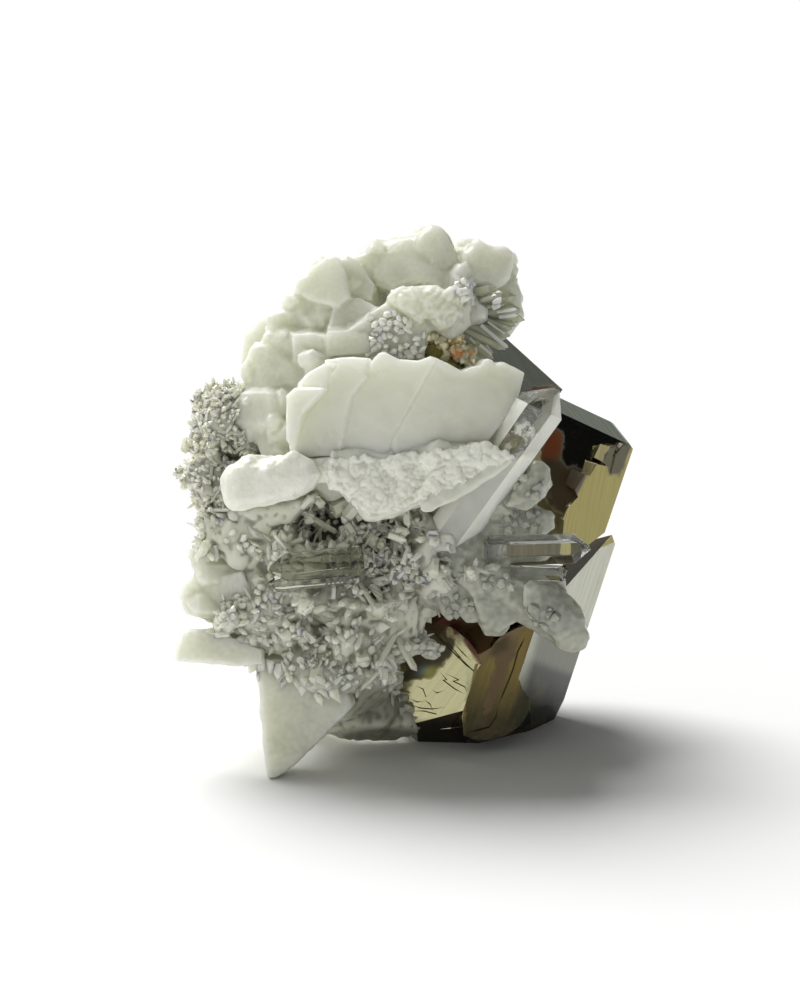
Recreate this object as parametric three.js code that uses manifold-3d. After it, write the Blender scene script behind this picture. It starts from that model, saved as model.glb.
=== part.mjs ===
// A mineral specimen: three intergrown pyrite crystals, half buried in white and clear quartz.
// Units are millimetres, +Z up. The best side faces -Y, with the pyrite towards +X.
// The origin is on the surface that the specimen stands on, under the middle of its bounding box.
import * as THREE from "three";
import { ConvexGeometry } from "three/addons/geometries/ConvexGeometry.js";
import { mergeVertices } from "three/addons/utils/BufferGeometryUtils.js";
import Module from "manifold-3d";

const wasm = await Module();
wasm.setup();

// Driving dimensions
const GAP = 0.3; // left between neighbouring pieces
const WELD = 1e-4; // vertices closer than this are one
const SINK = 1.9; // how far a small crystal's root lies under the surface it grows from
const OVERLAID = 0.92; // a crystal's foot nearer a lump's centre than this share of its radius is inside it
const TRIES = 40; // places tried for each crystal of a carpet, as some are inside a lump
const FRONT_INSET = 0.4; // share of a plate's bevel that its front loses
const RIM_DEPTH = 0.35; // share of a plate's thickness at which it is widest
const GROWN_RIM = 1.5; // a grown plate's widest outline moves this many times as far as its faces
const ROUNDING = 0.82; // a lump's vertices vary between this share of its radius and all of it
const GROUND = -0.6; // height, in the coordinates used below, of the surface it stands on

// Colours and finishes, as the specimen shows them
const FINISHES = {
  pyrite: { color: 0xb7a877, roughness: 0.22, metalness: 1.0 },
  sulphide: { color: 0x8a6a2c, roughness: 0.4, metalness: 0.9 },
  clear: { color: 0xe9ece4, roughness: 0.05, metalness: 0.0 },
  milky: { color: 0xdfe1d6, roughness: 0.35, metalness: 0.0 },
  frosted: { color: 0xeeefe8, roughness: 0.6, metalness: 0.0 },
  druse: { color: 0xbcbdae, roughness: 0.25, metalness: 0.0 },
};

const vector = (p) => new THREE.Vector3(...p);

// Repeatable random numbers from 0 to 1
function randomFrom(seed) {
  let state = seed;
  return () => {
    state = (state + 0x6d2b79f5) | 0;
    let t = Math.imul(state ^ (state >>> 15), 1 | state);
    t = (t + Math.imul(t ^ (t >>> 7), 61 | t)) ^ t;
    return ((t ^ (t >>> 14)) >>> 0) / 4294967296;
  };
}

// Solids
function solidFrom(geometry) {
  const bare = new THREE.BufferGeometry();
  bare.setAttribute("position", geometry.getAttribute("position"));
  if (geometry.index) bare.setIndex(geometry.index);
  const merged = mergeVertices(bare, WELD);
  return new wasm.Manifold(
    new wasm.Mesh({
      numProp: 3,
      vertProperties: merged.attributes.position.array,
      triVerts: new Uint32Array(merged.index.array),
    }),
  );
}

const hullOf = (points) => solidFrom(new ConvexGeometry(points));
const joined = (solids) => solids.reduce((whole, next) => whole.add(next));

function largestBody(solid) {
  return solid
    .decompose()
    .reduce((best, body) => (body.volume() > best.volume() ? body : best));
}

function geometryOf(solid) {
  const { numProp, vertProperties, triVerts, numVert } = solid.getMesh();
  const positions = new Float32Array(numVert * 3);
  for (let i = 0; i < numVert; i++)
    positions.set(vertProperties.subarray(i * numProp, i * numProp + 3), i * 3);
  const geometry = new THREE.BufferGeometry();
  geometry.setAttribute("position", new THREE.BufferAttribute(positions, 3));
  geometry.setIndex(new THREE.BufferAttribute(triVerts, 1));
  geometry.computeVertexNormals();
  return geometry;
}

// Pyrite: a convex crystal bounded by faces with Miller indices h k l, each at its own distance from
// the centre. The cube axes are set by the directions of the faces (100) and, roughly, (010).
function pyriteCrystal({ centre, cubeFace, secondFace, faces, grow }) {
  const a = vector(cubeFace).normalize();
  const c = a.clone().cross(vector(secondFace)).normalize();
  const b = c.clone().cross(a);
  const middle = vector(centre);
  const planes = faces.map(([h, k, l, distance]) => {
    const normal = new THREE.Vector3()
      .addScaledVector(a, h)
      .addScaledVector(b, k)
      .addScaledVector(c, l)
      .normalize();
    return { normal, offset: normal.dot(middle) + distance + grow };
  });
  return hullOf(cornersOf(planes));
}

// Where three planes meet inside all the others
function cornersOf(planes) {
  const corners = [];
  const matrix = new THREE.Matrix3();
  planes.forEach((p, i) =>
    planes.slice(i + 1).forEach((q, j) =>
      planes.slice(i + j + 2).forEach((r) => {
        matrix.set(...p.normal.toArray(), ...q.normal.toArray(), ...r.normal.toArray());
        if (Math.abs(matrix.determinant()) < 1e-6) return;
        const corner = new THREE.Vector3(p.offset, q.offset, r.offset).applyMatrix3(
          matrix.clone().invert(),
        );
        const inside = planes.every((s) => s.normal.dot(corner) < s.offset + 1e-5);
        const known = corners.some((other) => other.distanceTo(corner) < 1e-3);
        if (inside && !known) corners.push(corner);
      }),
    ),
  );
  return corners;
}

// Quartz: a six-sided prism from root to tip. The point is pointLength long and ends in a chisel
// edge of length ridge, moved off the axis by lean. A thickness under the width makes it a tablet,
// and spin turns it on its axis.
function quartzCrystal({
  root,
  tip,
  width,
  thickness = width,
  pointLength = width * 0.8,
  ridge = width * 0.15,
  taper = 0.15,
  lean = 0,
  spin = 0,
  grow = 0,
}) {
  const axis = vector(tip).sub(vector(root));
  const length = axis.length();
  const turn = new THREE.Quaternion()
    .setFromUnitVectors(new THREE.Vector3(0, 0, 1), axis.normalize())
    .multiply(
      new THREE.Quaternion().setFromAxisAngle(
        new THREE.Vector3(0, 0, 1),
        THREE.MathUtils.degToRad(spin),
      ),
    );
  const place = (x, y, z) =>
    new THREE.Vector3(x, y, z).applyQuaternion(turn).add(vector(root));
  const ring = (z, share) =>
    [0, 1, 2, 3, 4, 5].map((side) => {
      const angle = (side * Math.PI) / 3;
      return place(
        Math.cos(angle) * (width / 2 + grow) * share,
        Math.sin(angle) * (thickness / 2 + grow) * share,
        z,
      );
    });
  const half = ridge / 2 + grow;
  const ends = half > 0 ? [lean - half, lean + half] : [lean];
  return hullOf([
    ...ring(-grow, 1),
    ...ring(length - pointLength, 1 - taper),
    ...ends.map((x) => place(x, 0, length + grow)),
  ]);
}

// Quartz: a tablet whose front has the given outline of X and Z, and lies at Y = front at the level
// given, leaning back by slope. Its rim is cut back by bevel on the way to its back.
function quartzPlate({ outline, front, slope, level, thickness, bevel, grow }) {
  const centre = outline
    .reduce((sum, [x, z]) => sum.add(new THREE.Vector2(x, z)), new THREE.Vector2())
    .divideScalar(outline.length);
  const rim = (inset, depth) =>
    outline.map(([x, z]) => {
      const out = new THREE.Vector2(x, z).sub(centre);
      const moved = out.setLength(out.length() - inset).add(centre);
      return new THREE.Vector3(moved.x, front + slope * (moved.y - level) + depth, moved.y);
    });
  return hullOf([
    ...rim(bevel * FRONT_INSET - grow, -grow),
    ...rim(-GROWN_RIM * grow, thickness * RIM_DEPTH),
    ...rim(bevel - grow, thickness + grow),
  ]);
}

// Massive quartz: an uneven rounded lump
function quartzLump({ centre, radii, detail = 1, seed, grow }) {
  const random = randomFrom(seed);
  const ball = new THREE.IcosahedronGeometry(1, detail);
  ball.deleteAttribute("normal");
  ball.deleteAttribute("uv");
  const merged = mergeVertices(ball, 1e-3);
  const position = merged.getAttribute("position");
  for (let i = 0; i < position.count; i++) {
    const share = ROUNDING + (1 - ROUNDING) * random();
    position.setXYZ(
      i,
      centre[0] + position.getX(i) * (radii[0] * share + grow),
      centre[1] + position.getY(i) * (radii[1] * share + grow),
      centre[2] + position.getZ(i) * (radii[2] * share + grow),
    );
  }
  return solidFrom(merged);
}

// Small crystals that stand all over lumps, leaning away from each lump's centre
function crystalCarpet({ lumps, count, length, width, lean, seed, keep, grow }) {
  const random = randomFrom(seed);
  const between = ([low, high]) => low + (high - low) * random();
  const anyWay = () => new THREE.Vector3(random() - 0.5, random() - 0.5, random() - 0.5);
  const crystals = [];
  for (let tried = 0; crystals.length < count && tried < count * TRIES; tried++) {
    const { centre, radii } = lumps[Math.floor(random() * lumps.length)];
    const out = anyWay().normalize();
    const foot = vector(centre).add(out.clone().multiply(vector(radii)));
    const buried = lumps.some((other) => {
      const way = foot.clone().sub(vector(other.centre)).divide(vector(other.radii));
      return other.centre !== centre && way.length() < OVERLAID;
    });
    const direction = out.addScaledVector(anyWay(), lean).normalize();
    const size = { length: between(length), width: between(width), spin: random() * 60 };
    if (buried || !keep(foot)) continue;
    const root = foot.clone().addScaledVector(direction, -SINK);
    const tip = foot.clone().addScaledVector(direction, size.length);
    crystals.push(
      quartzCrystal({
        root: root.toArray(),
        tip: tip.toArray(),
        width: size.width,
        ridge: 0,
        spin: size.spin,
        grow,
      }),
    );
  }
  return crystals;
}

// Pyrite. The lower two crystals share one set of axes, and the core joins them to the right one.
const LOWER_AXES = { cubeFace: [0.33, -0.94, 0.1], secondFace: [-0.41, -0.04, 0.91] };
const RIGHT_AXES = { cubeFace: [0.52, -0.63, -0.58], secondFace: [0.79, 0.1, 0.6] };
const UPPER_AXES = { cubeFace: [0.6, -0.35, 0.72], secondFace: [-0.3, -0.93, -0.2] };
const PYRITE = [
  {
    ...LOWER_AXES,
    centre: [13, 12, 9],
    faces: [
      [1, 1, 1, 12.1],
      [1, 0, 0, 11.3],
      [3, -2, -2, 7.7],
      [2, -2, -1, 8.6],
      [1, -1, 0, 9.3],
      [1, -2, 0, 10.6],
      [1, -1, 1, 12.7],
      [0.11, 1, 0.05, 6.5],
      [0, -1, -1, 11.7],
      [-1, -1, -1, 12],
      [-1, 0, 0, 10.5],
      [-1, 1, -1, 16.4],
      [-1, -1, 1, 12],
      [-1, 1, 1, 12],
      [0, 0, 1, 15.4],
    ],
  },
  {
    ...LOWER_AXES,
    centre: [5, 7, 10],
    faces: [
      [1, 1, 1, 3.6],
      [1, 0, 0, 8.6],
      [1, 1, -1, 3.4],
      [0, 1, 0, 7],
      [0, 0, 1, 7.2],
      [1, -1, 1, 9],
      [0, -1, 0, 8],
      [0, 0, -1, 5],
      [-1, 0, 0, 7],
      [-1, 1, 1, 5.4],
    ],
  },
  {
    ...RIGHT_AXES,
    centre: [14, 9, 34],
    faces: [
      [1, 1, 1, 12.8],
      [2, 1, 0, 12.8],
      [0, 2, 1, 14],
      [0, 3, 1, 14.9],
      [0, 1, 0, 16],
      [-1, 1, 0, 9.6],
      [1, 1, -1, 14.5],
      [2, -1, -2, 10.4],
      [-1, 1, 1, 12],
      [-1, 1, -1, 13],
      [0, 0, -1, 12.5],
      [1, 0, -2, 13],
      [-2, -1, 0, 12],
      [0, -2, 1, 13],
      [1, -1, 1, 9],
      [1, 0, 2, 12],
      [0, 0, 1, 12],
      [-1, 0, -2, 13],
    ],
  },
  {
    ...UPPER_AXES,
    centre: [8, 6, 40],
    faces: [
      [1, 0, 0, 12.7],
      [0, 1, 0, 9.5],
      [0, -1, 0, 5.9],
      [0, 0, 1, 5.3],
      [0, 0, -1, 13],
      [-1, 0, 0, 11],
      [1, 0, -1, 17],
    ],
  },
  {
    ...RIGHT_AXES,
    centre: [10, 13, 21],
    faces: [
      [1, 0, 0, 7],
      [-1, 0, 0, 9],
      [0, 1, 0, 7],
      [0, -1, 0, 9],
      [0, 0, 1, 8],
      [0, 0, -1, 7],
    ],
  },
];
const pyrite = (grow) => PYRITE.map((crystal) => pyriteCrystal({ ...crystal, grow }));

// Two glassy crystals that stand proud of the front
const largePoint = (grow) => [
  quartzCrystal({
    root: [7, -13, 33],
    tip: [17.9, -14, 50.2],
    width: 7.2,
    thickness: 6.2,
    pointLength: 4.2,
    lean: 1.4,
    ridge: 1.4,
    taper: 0.02,
    spin: 20,
    grow,
  }),
];
const smallPoint = (grow) => [
  quartzCrystal({
    root: [11, -10.5, 29],
    tip: [24, -14, 30.2],
    width: 4.4,
    thickness: 3.8,
    pointLength: 2.2,
    ridge: 0.6,
    taper: 0.04,
    spin: 30,
    grow,
  }),
];

// A pair of grey crystals lying across the hollow of the druse
const greyPoints = (grow) => [
  quartzCrystal({
    root: [-5, -13, 28.4],
    tip: [-16.4, -17, 28.2],
    width: 3.8,
    thickness: 3.6,
    pointLength: 2.4,
    taper: 0.05,
    spin: 30,
    grow,
  }),
  quartzCrystal({
    root: [-6, -12.4, 26.4],
    tip: [-16.7, -16.4, 26.1],
    width: 2.6,
    pointLength: 1.6,
    taper: 0.05,
    spin: 15,
    grow,
  }),
];

// The white shield that lies across the front, with a rounded lobe at its left end
const frostedBlade = (grow) => [
  quartzCrystal({
    root: [-8, -14, 40.6],
    tip: [-23.4, -14.4, 38.8],
    width: 6.8,
    thickness: 6,
    pointLength: 3,
    ridge: 4,
    taper: 0.2,
    spin: 90,
    grow,
  }),
  quartzCrystal({
    root: [-12, -13, 40.4],
    tip: [-21, -13.6, 42],
    width: 4.4,
    thickness: 4.4,
    pointLength: 1.6,
    ridge: 2,
    spin: 90,
    grow,
  }),
  quartzPlate({
    outline: [
      [-11.4, 41.5],
      [-7, 43.6],
      [5, 44.8],
      [14, 42.6],
      [9.6, 38.4],
      [-1.2, 34.6],
      [-4.4, 34.2],
    ],
    front: -16.6,
    slope: 0.32,
    level: 40,
    thickness: 4.6,
    bevel: 2.2,
    grow,
  }),
];

// Translucent tablets that stand side by side behind the shield
const uprightTablets = (grow) =>
  [
    { outline: [[-15.4, 42], [-14.6, 47], [-12.6, 50], [-8, 50.4], [-7, 40]], front: -12.4 },
    { outline: [[-13, 44], [-11.6, 51.4], [-8, 53.6], [-4.4, 53.4], [-3, 40], [-9, 38]], front: -13 },
    { outline: [[-9, 40], [-6, 50], [-2.4, 54], [2.6, 54.2], [5, 50], [2, 38]], front: -12.2 },
    { outline: [[-2, 40], [1, 50], [4.4, 53.2], [8.6, 52.4], [10, 48], [6, 38]], front: -12.8 },
    { outline: [[3, 40], [6.6, 50.6], [11.4, 53.2], [15.6, 51.6], [15, 48.6], [9, 40]], front: -13.4 },
  ].map((tablet) =>
    quartzPlate({ ...tablet, slope: 0.2, level: 46, thickness: 3.6, bevel: 0.8, grow }),
  );

// Rounded, cloudy crystals round the small point and right of the large one
const cloudyLobes = (grow) => [
  ...[
    { root: [6, -6, 24], tip: [21.4, -11, 24.6], width: 7.4, thickness: 6 },
    { root: [12, -8, 24], tip: [24, -11, 17.4], width: 6.6, thickness: 6, spin: 20 },
    { root: [5, -8, 23], tip: [14, -9.4, 18.2], width: 6, thickness: 4.4, spin: 12 },
    { root: [3, -7, 23], tip: [8.6, -9, 17.6], width: 4.6, thickness: 4, spin: 12 },
    { root: [9, -8, 34], tip: [19.2, -9.6, 38.4], width: 6.4, thickness: 6 },
    { root: [8, -7, 31], tip: [20, -8.6, 32.6], width: 5.6, thickness: 5 },
  ].map((crystal) =>
    quartzCrystal({
      ...crystal,
      pointLength: crystal.width * 0.4,
      ridge: crystal.width * 0.35,
      taper: 0.2,
      grow,
    }),
  ),
  quartzLump({ centre: [8, -6, 28], radii: [7, 5.5, 8], seed: 31, grow }),
];

// The big milky mass over the top and the upper left, stout crystals grown into each other
const milkyCap = (grow) => [
  quartzLump({ centre: [-6, 1, 50], radii: [13, 12, 13], detail: 0, seed: 11, grow }),
  quartzLump({ centre: [4, 5, 58], radii: [12, 10, 10], detail: 0, seed: 12, grow }),
  quartzLump({ centre: [-9, -3, 43], radii: [11, 11, 10], detail: 0, seed: 13, grow }),
  ...[
    { root: [-4, 0, 50], tip: [-8.8, -2, 65.4], width: 10, thickness: 9 },
    { root: [-5, 0, 48], tip: [-13, -3, 61.6], width: 10, thickness: 9 },
    { root: [-5, -1, 46], tip: [-16.8, -4, 57.4], width: 11, thickness: 9 },
    { root: [-6, -2, 46], tip: [-19.8, -6, 53], width: 11, thickness: 9 },
    { root: [-7, -4, 44], tip: [-20.8, -8, 47], width: 10, thickness: 9 },
    { root: [-7, -5, 42], tip: [-18, -9.4, 42], width: 7, thickness: 6.4 },
    { root: [-2, 2, 52], tip: [-3.4, 3, 66.4], width: 9, thickness: 8 },
    { root: [0, 3, 52], tip: [0.4, 4, 67.4], width: 9.5, thickness: 8 },
    { root: [3, 4, 54], tip: [3.8, 4, 69], width: 7, thickness: 6 },
    { root: [6, 4, 54], tip: [9.8, 5, 66.8], width: 7, thickness: 6.4 },
    { root: [7, 4, 55], tip: [14, 4.6, 65.4], width: 9, thickness: 8 },
    { root: [7, 4, 56], tip: [15.8, 4, 60.2], width: 6.4, thickness: 6 },
    { root: [0, -2, 54], tip: [3.6, -7, 60], width: 8, thickness: 7 },
    { root: [2, -1, 54], tip: [7.6, -6.4, 58.4], width: 6, thickness: 5.4 },
    { root: [-4, -2, 52], tip: [-5.4, -9, 58], width: 7, thickness: 5 },
    { root: [-8, -3, 48], tip: [-10.8, -10, 53.6], width: 6, thickness: 5 },
    { root: [-3, 6, 50], tip: [-9, 15, 61], width: 10, thickness: 8 },
    { root: [-6, 4, 48], tip: [-18, 10, 55], width: 10, thickness: 8 },
    { root: [2, 8, 54], tip: [1, 17, 62], width: 9, thickness: 8 },
    { root: [5, 8, 54], tip: [11, 14.6, 61], width: 8, thickness: 7 },
    { root: [-6, 4, 45], tip: [-16, 14, 48], width: 9, thickness: 8 },
    { root: [-3, 6, 46], tip: [-6, 19, 52], width: 9, thickness: 7 },
  ].map((crystal, i) =>
    quartzCrystal({
      ...crystal,
      pointLength: crystal.width * 0.35,
      ridge: crystal.width * 0.4,
      taper: 0.16,
      spin: (i * 23) % 60,
      grow,
    }),
  ),
];

// A fan of long needles over the slanting top of the pyrite
const needleFan = (grow) =>
  [
    { tip: [12, -1.6, 53], width: 1.6 },
    { tip: [13.6, -0.4, 54.6], width: 1.7 },
    { tip: [14.6, 0.6, 56.2], width: 1.5 },
    { tip: [15.6, 1.6, 58.2], width: 1.7 },
    { tip: [15, 1, 60], width: 1.6 },
    { tip: [12.6, -1, 61.2], width: 1.7 },
  ].map((needle, i) =>
    quartzCrystal({
      ...needle,
      root: [4.6, -1.2 + 0.3 * i, 55.6 + 0.8 * i],
      pointLength: 1.2,
      ridge: 0,
      taper: 0.03,
      spin: 30,
      grow,
    }),
  );

// Flat white blades that stick out on the left, and two pointed crystals that reach the ground
const leftBlades = (grow) => [
  ...[
    { root: [-13, -4, 24.4], tip: [-26.4, -9, 26], width: 5, thickness: 4 },
    { root: [-13, -4, 21], tip: [-27.6, -8, 22], width: 7, thickness: 4 },
    { root: [-13, -4, 17.4], tip: [-28.6, -9, 15.6], width: 6, thickness: 3.6 },
    { root: [-13, 0, 21], tip: [-26, 6, 20], width: 8, thickness: 7 },
  ].map((blade) =>
    quartzCrystal({ ...blade, pointLength: 1.2, ridge: 3.6, taper: 0.05, spin: 90, grow }),
  ),
  quartzLump({ centre: [-16, -3, 21], radii: [5, 5, 6], detail: 0, seed: 51, grow }),
];
const frontTooth = (grow) => [
  quartzPlate({
    outline: [
      [-18.4, 15],
      [-18.3, 10],
      [-17.2, GROUND - 0.4],
      [-16, GROUND - 0.4],
      [-13.4, 0.8],
      [-5.6, 8.6],
      [-8, 15],
    ],
    front: -12.6,
    slope: 0.2,
    level: 0,
    thickness: 5.5,
    bevel: 1.6,
    grow,
  }),
];
const rearTooth = (grow) => [
  quartzCrystal({
    root: [-9, 4, 16],
    tip: [-14.5, 10, GROUND - 0.5],
    width: 12,
    thickness: 8,
    pointLength: 12,
    ridge: 1.6,
    taper: 0.05,
    spin: 30,
    grow,
  }),
];

// Two beds covered with small crystals
const LEFT_BED = [
  { centre: [-21.4, -4, 44], radii: [6, 6.4, 6] },
  { centre: [-22.4, -4, 37], radii: [5.6, 5.5, 5.8] },
];
const LOWER_BED = [
  { centre: [-8, -4, 26], radii: [12, 11, 9] },
  { centre: [-19, -4, 30], radii: [7.6, 8, 6.6] },
  { centre: [-17, -4, 21], radii: [9, 9, 8] },
  { centre: [-9, -4, 12.5], radii: [10, 9, 8.6] },
  { centre: [-3, -5, 20], radii: [7, 8, 8] },
  { centre: [-6.4, 1, 7], radii: [7.4, 7, 7] },
  { centre: [4, -6, 28], radii: [8, 7, 7] },
  { centre: [-12, 5, 16], radii: [12, 10, 10], detail: 0 },
  { centre: [-8, 6, 31], radii: [13, 10, 13], detail: 0 },
];
const LOWER_CRYSTALS = { lumps: LOWER_BED, length: [1.6, 3.4], width: [1.8, 3], lean: 1.6 };
const FRONT_HALF = -4; // the best side's crystals, closer together, stand in front of this Y
const leftDruse = (grow) => [
  ...LEFT_BED.map((lump, i) => quartzLump({ ...lump, seed: 41 + i, grow })),
  ...crystalCarpet({
    lumps: LEFT_BED,
    count: 14,
    length: [1.4, 2.6],
    width: [1.6, 2.6],
    lean: 1.4,
    seed: 5,
    keep: (foot) => foot.x < -18,
    grow,
  }),
];
const lowerDruse = (grow) => [
  ...LOWER_BED.map((lump, i) => quartzLump({ ...lump, seed: 61 + i, grow })),
  ...crystalCarpet({
    ...LOWER_CRYSTALS,
    count: 38,
    seed: 8,
    keep: (foot) => foot.z > 5 && foot.y < FRONT_HALF,
    grow,
  }),
  ...crystalCarpet({
    ...LOWER_CRYSTALS,
    count: 12,
    seed: 9,
    keep: (foot) => foot.z > 5 && foot.y >= FRONT_HALF,
    grow,
  }),
];

// Small brassy crystals in the niche at the top of the pyrite
const GRAINS = [
  { centre: [3.6, -4.6, 55.2], size: 3 },
  { centre: [5.4, -5, 53.8], size: 2.8 },
  { centre: [7.2, -4.8, 52.8], size: 2.8 },
  { centre: [8.6, -3.6, 52.6], size: 2.2 },
  { centre: [5, -3, 55.6], size: 2.6 },
  { centre: [6.9, -2.9, 54.5], size: 2.4 },
];
const sulphideGrains = (grow) =>
  GRAINS.map(({ centre, size }, i) => {
    const side = size + 2 * grow;
    const block = new THREE.BoxGeometry(side, side, side);
    block.rotateX(0.5 + i).rotateZ(0.9 * i).translate(...centre);
    return solidFrom(block);
  });

// Each piece is cut off at the surface that the specimen stands on, and cut back by the pieces above
// it in this list, so that the gap between them is even
const PIECES = [
  ["pyrite_crystals", "pyrite", pyrite],
  ["large_clear_point", "clear", largePoint],
  ["small_clear_point", "clear", smallPoint],
  ["grey_points", "clear", greyPoints],
  ["frosted_blade", "frosted", frostedBlade],
  ["upright_tablets", "milky", uprightTablets],
  ["cloudy_lobes", "milky", cloudyLobes],
  ["sulphide_grains", "sulphide", sulphideGrains],
  ["needle_fan", "clear", needleFan],
  ["milky_cap", "milky", milkyCap],
  ["front_tooth", "milky", frontTooth],
  ["rear_tooth", "milky", rearTooth],
  ["left_blades", "milky", leftBlades],
  ["left_druse", "druse", leftDruse],
  ["lower_druse", "druse", lowerDruse],
];

const specimen = new THREE.Group();
let taken = solidFrom(new THREE.BoxGeometry(200, 200, 20).translate(0, 0, GROUND - 10));
for (const [name, finish, shape] of PIECES) {
  const solid = largestBody(joined(shape(0)).subtract(taken));
  taken = taken.add(joined(shape(GAP)));
  const mesh = new THREE.Mesh(
    geometryOf(solid),
    new THREE.MeshStandardMaterial({ ...FINISHES[finish], flatShading: true }),
  );
  mesh.name = name;
  specimen.add(mesh);
}

// The origin goes under the middle of the bounding box
const box = new THREE.Box3().setFromObject(specimen);
const middle = box.getCenter(new THREE.Vector3());
specimen.position.set(-middle.x, -middle.y, -box.min.z);

export default specimen;
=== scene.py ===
import math

import bmesh
import bpy
import numpy as np
from bpy.props import FloatProperty, FloatVectorProperty, IntProperty, PointerProperty
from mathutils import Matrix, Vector
from mathutils.bvhtree import BVHTree


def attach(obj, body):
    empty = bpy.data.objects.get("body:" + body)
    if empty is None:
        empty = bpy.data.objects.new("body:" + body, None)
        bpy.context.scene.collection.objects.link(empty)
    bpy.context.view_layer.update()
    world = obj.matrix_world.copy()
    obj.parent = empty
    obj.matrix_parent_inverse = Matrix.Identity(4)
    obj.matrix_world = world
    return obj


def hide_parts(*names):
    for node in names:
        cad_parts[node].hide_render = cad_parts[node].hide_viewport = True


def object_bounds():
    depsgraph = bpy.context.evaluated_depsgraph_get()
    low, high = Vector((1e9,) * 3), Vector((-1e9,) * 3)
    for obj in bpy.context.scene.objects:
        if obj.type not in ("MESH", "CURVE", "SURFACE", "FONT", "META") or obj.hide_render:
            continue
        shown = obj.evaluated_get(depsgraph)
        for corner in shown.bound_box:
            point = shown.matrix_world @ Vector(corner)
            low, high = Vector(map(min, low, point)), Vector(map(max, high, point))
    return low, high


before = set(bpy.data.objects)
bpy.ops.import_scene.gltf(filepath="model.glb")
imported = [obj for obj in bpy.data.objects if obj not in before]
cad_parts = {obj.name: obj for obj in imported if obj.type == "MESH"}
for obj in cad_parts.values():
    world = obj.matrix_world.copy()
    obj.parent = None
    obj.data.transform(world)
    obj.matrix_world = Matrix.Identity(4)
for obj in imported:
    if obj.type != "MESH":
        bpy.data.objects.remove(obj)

bl_info = {
    "name": "Pyrite and quartz specimen",
    "version": (1, 0, 0),
    "blender": (4, 5, 0),
    "location": "3D View > Sidebar > Specimen",
    "description": "Gives the solids of a pyrite and quartz specimen their crystals and finishes",
    "category": "Add Mesh",
}

MM = 0.001
CAD_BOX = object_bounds()
BODY = "root"

WELD = 1e-6  # metres within which loose triangles' corners are one
SAME_FACING = 0.985  # cosine of the angle within which facings count as one
QUARTZ_INDEX = 1.544
COARSE = 0.4 * MM  # voxel of a skin that is roughened and skinned again

# The camera stands straight in front and looks a little down at the middle of the specimen
AIM = Vector((-0.41, -4.12, 34.0)) * MM
DISTANCE = 397 * MM
HEIGHT_ANGLE = math.radians(12)
LENS = 110.0
SENSOR = 36  # millimetres for the picture's height
PICTURE = (800, 1000)
MIDDLE = (400, 500)
RIGHT = Vector((1, 0, 0))
AHEAD = Vector((0, math.cos(HEIGHT_ANGLE), -math.sin(HEIGHT_ANGLE)))
UP = RIGHT.cross(AHEAD)
EYE = AIM - AHEAD * DISTANCE
EYE_ROW, RIGHT_ROW, AHEAD_ROW, UP_ROW = (np.array(v) for v in (EYE, RIGHT, AHEAD, UP))
FOCAL_PIXELS = LENS / SENSOR * PICTURE[1]
PIXEL = DISTANCE / FOCAL_PIXELS  # width of a pixel at the specimen
PATCH_EDGE = 2.5  # how steeply a patch ends
RAGGED = 3.0  # pixels by which an outline is ragged
RAGGED_SIZE = 1.1 * MM  # how wide its bumps are


# Places by the pixels of the picture

def sight(px, py):
    """The direction from the camera through a pixel."""
    across = (px - MIDDLE[0]) / FOCAL_PIXELS
    upward = (MIDDLE[1] - py) / FOCAL_PIXELS
    return AHEAD + RIGHT * across + UP * upward


def spot(px, py, depth):
    """The place seen at a pixel, at Y = depth in millimetres."""
    ray = sight(px, py)
    return EYE + ray * ((depth * MM - EYE.y) / ray.y)


def on_plane(px, py, point, normal):
    """The place seen at a pixel, on the plane through a point."""
    ray = sight(px, py)
    return EYE + ray * ((point - EYE).dot(normal) / ray.dot(normal))


def pixels_of(points):
    """The pixels at which points are seen."""
    way = points - EYE_ROW
    scale = FOCAL_PIXELS / (way @ AHEAD_ROW)
    return MIDDLE[0] + way @ RIGHT_ROW * scale, MIDDLE[1] - way @ UP_ROW * scale


def faces_camera(mesh):
    return normals_of(mesh) @ AHEAD_ROW < 0


def patch(mesh, px, py, across, down, turn=0.0):
    """1 in the middle of an ellipse of the picture and 0 outside it, on what faces the camera."""
    x, y = pixels_of(points_of(mesh))
    cos, sin = math.cos(math.radians(turn)), math.sin(math.radians(turn))
    u = ((x - px) * cos + (y - py) * sin) / across
    v = ((y - py) * cos - (x - px) * sin) / down
    return np.clip((1 - np.hypot(u, v)) * PATCH_EDGE, 0, 1) * faces_camera(mesh)


def inside(mesh, outline, ragged=0.0):
    """Whether points are seen inside an outline, ragged by some pixels, and face the camera."""
    points = points_of(mesh)
    x, y = pixels_of(points)
    x = x + lattice_noise(points, RAGGED_SIZE, 61) * ragged
    y = y + lattice_noise(points, RAGGED_SIZE, 62) * ragged
    crossed = np.zeros(len(x), bool)
    for (x0, y0), (x1, y1) in zip(outline, outline[1:] + outline[:1]):
        if y0 != y1:
            over = (y0 > y) != (y1 > y)
            crossed ^= over & (x < (x1 - x0) * (y - y0) / (y1 - y0) + x0)
    return crossed & faces_camera(mesh)


def ramp(values, start, width, top=1.0):
    """0 up to start, and rising to top with a slope of 1 over the width."""
    return np.clip((values - start) / width, 0, top)


class Surface:
    """What the camera sees of a mesh."""

    def __init__(self, mesh):
        self.tree = BVHTree.FromPolygons(
            [v.co for v in mesh.vertices], [p.vertices for p in mesh.polygons]
        )

    def at(self, px, py, beside=None):
        """The place and the normal at a pixel, or off the mesh, one as far away as beside."""
        place, normal = self.tree.ray_cast(EYE, sight(px, py).normalized())[:2]
        if place is not None:
            return place, normal
        if beside is None:
            raise ValueError(f"nothing is seen at {px}, {py}")
        return on_plane(px, py, beside, AHEAD), -AHEAD


# Node trees, for materials and for geometry

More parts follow.
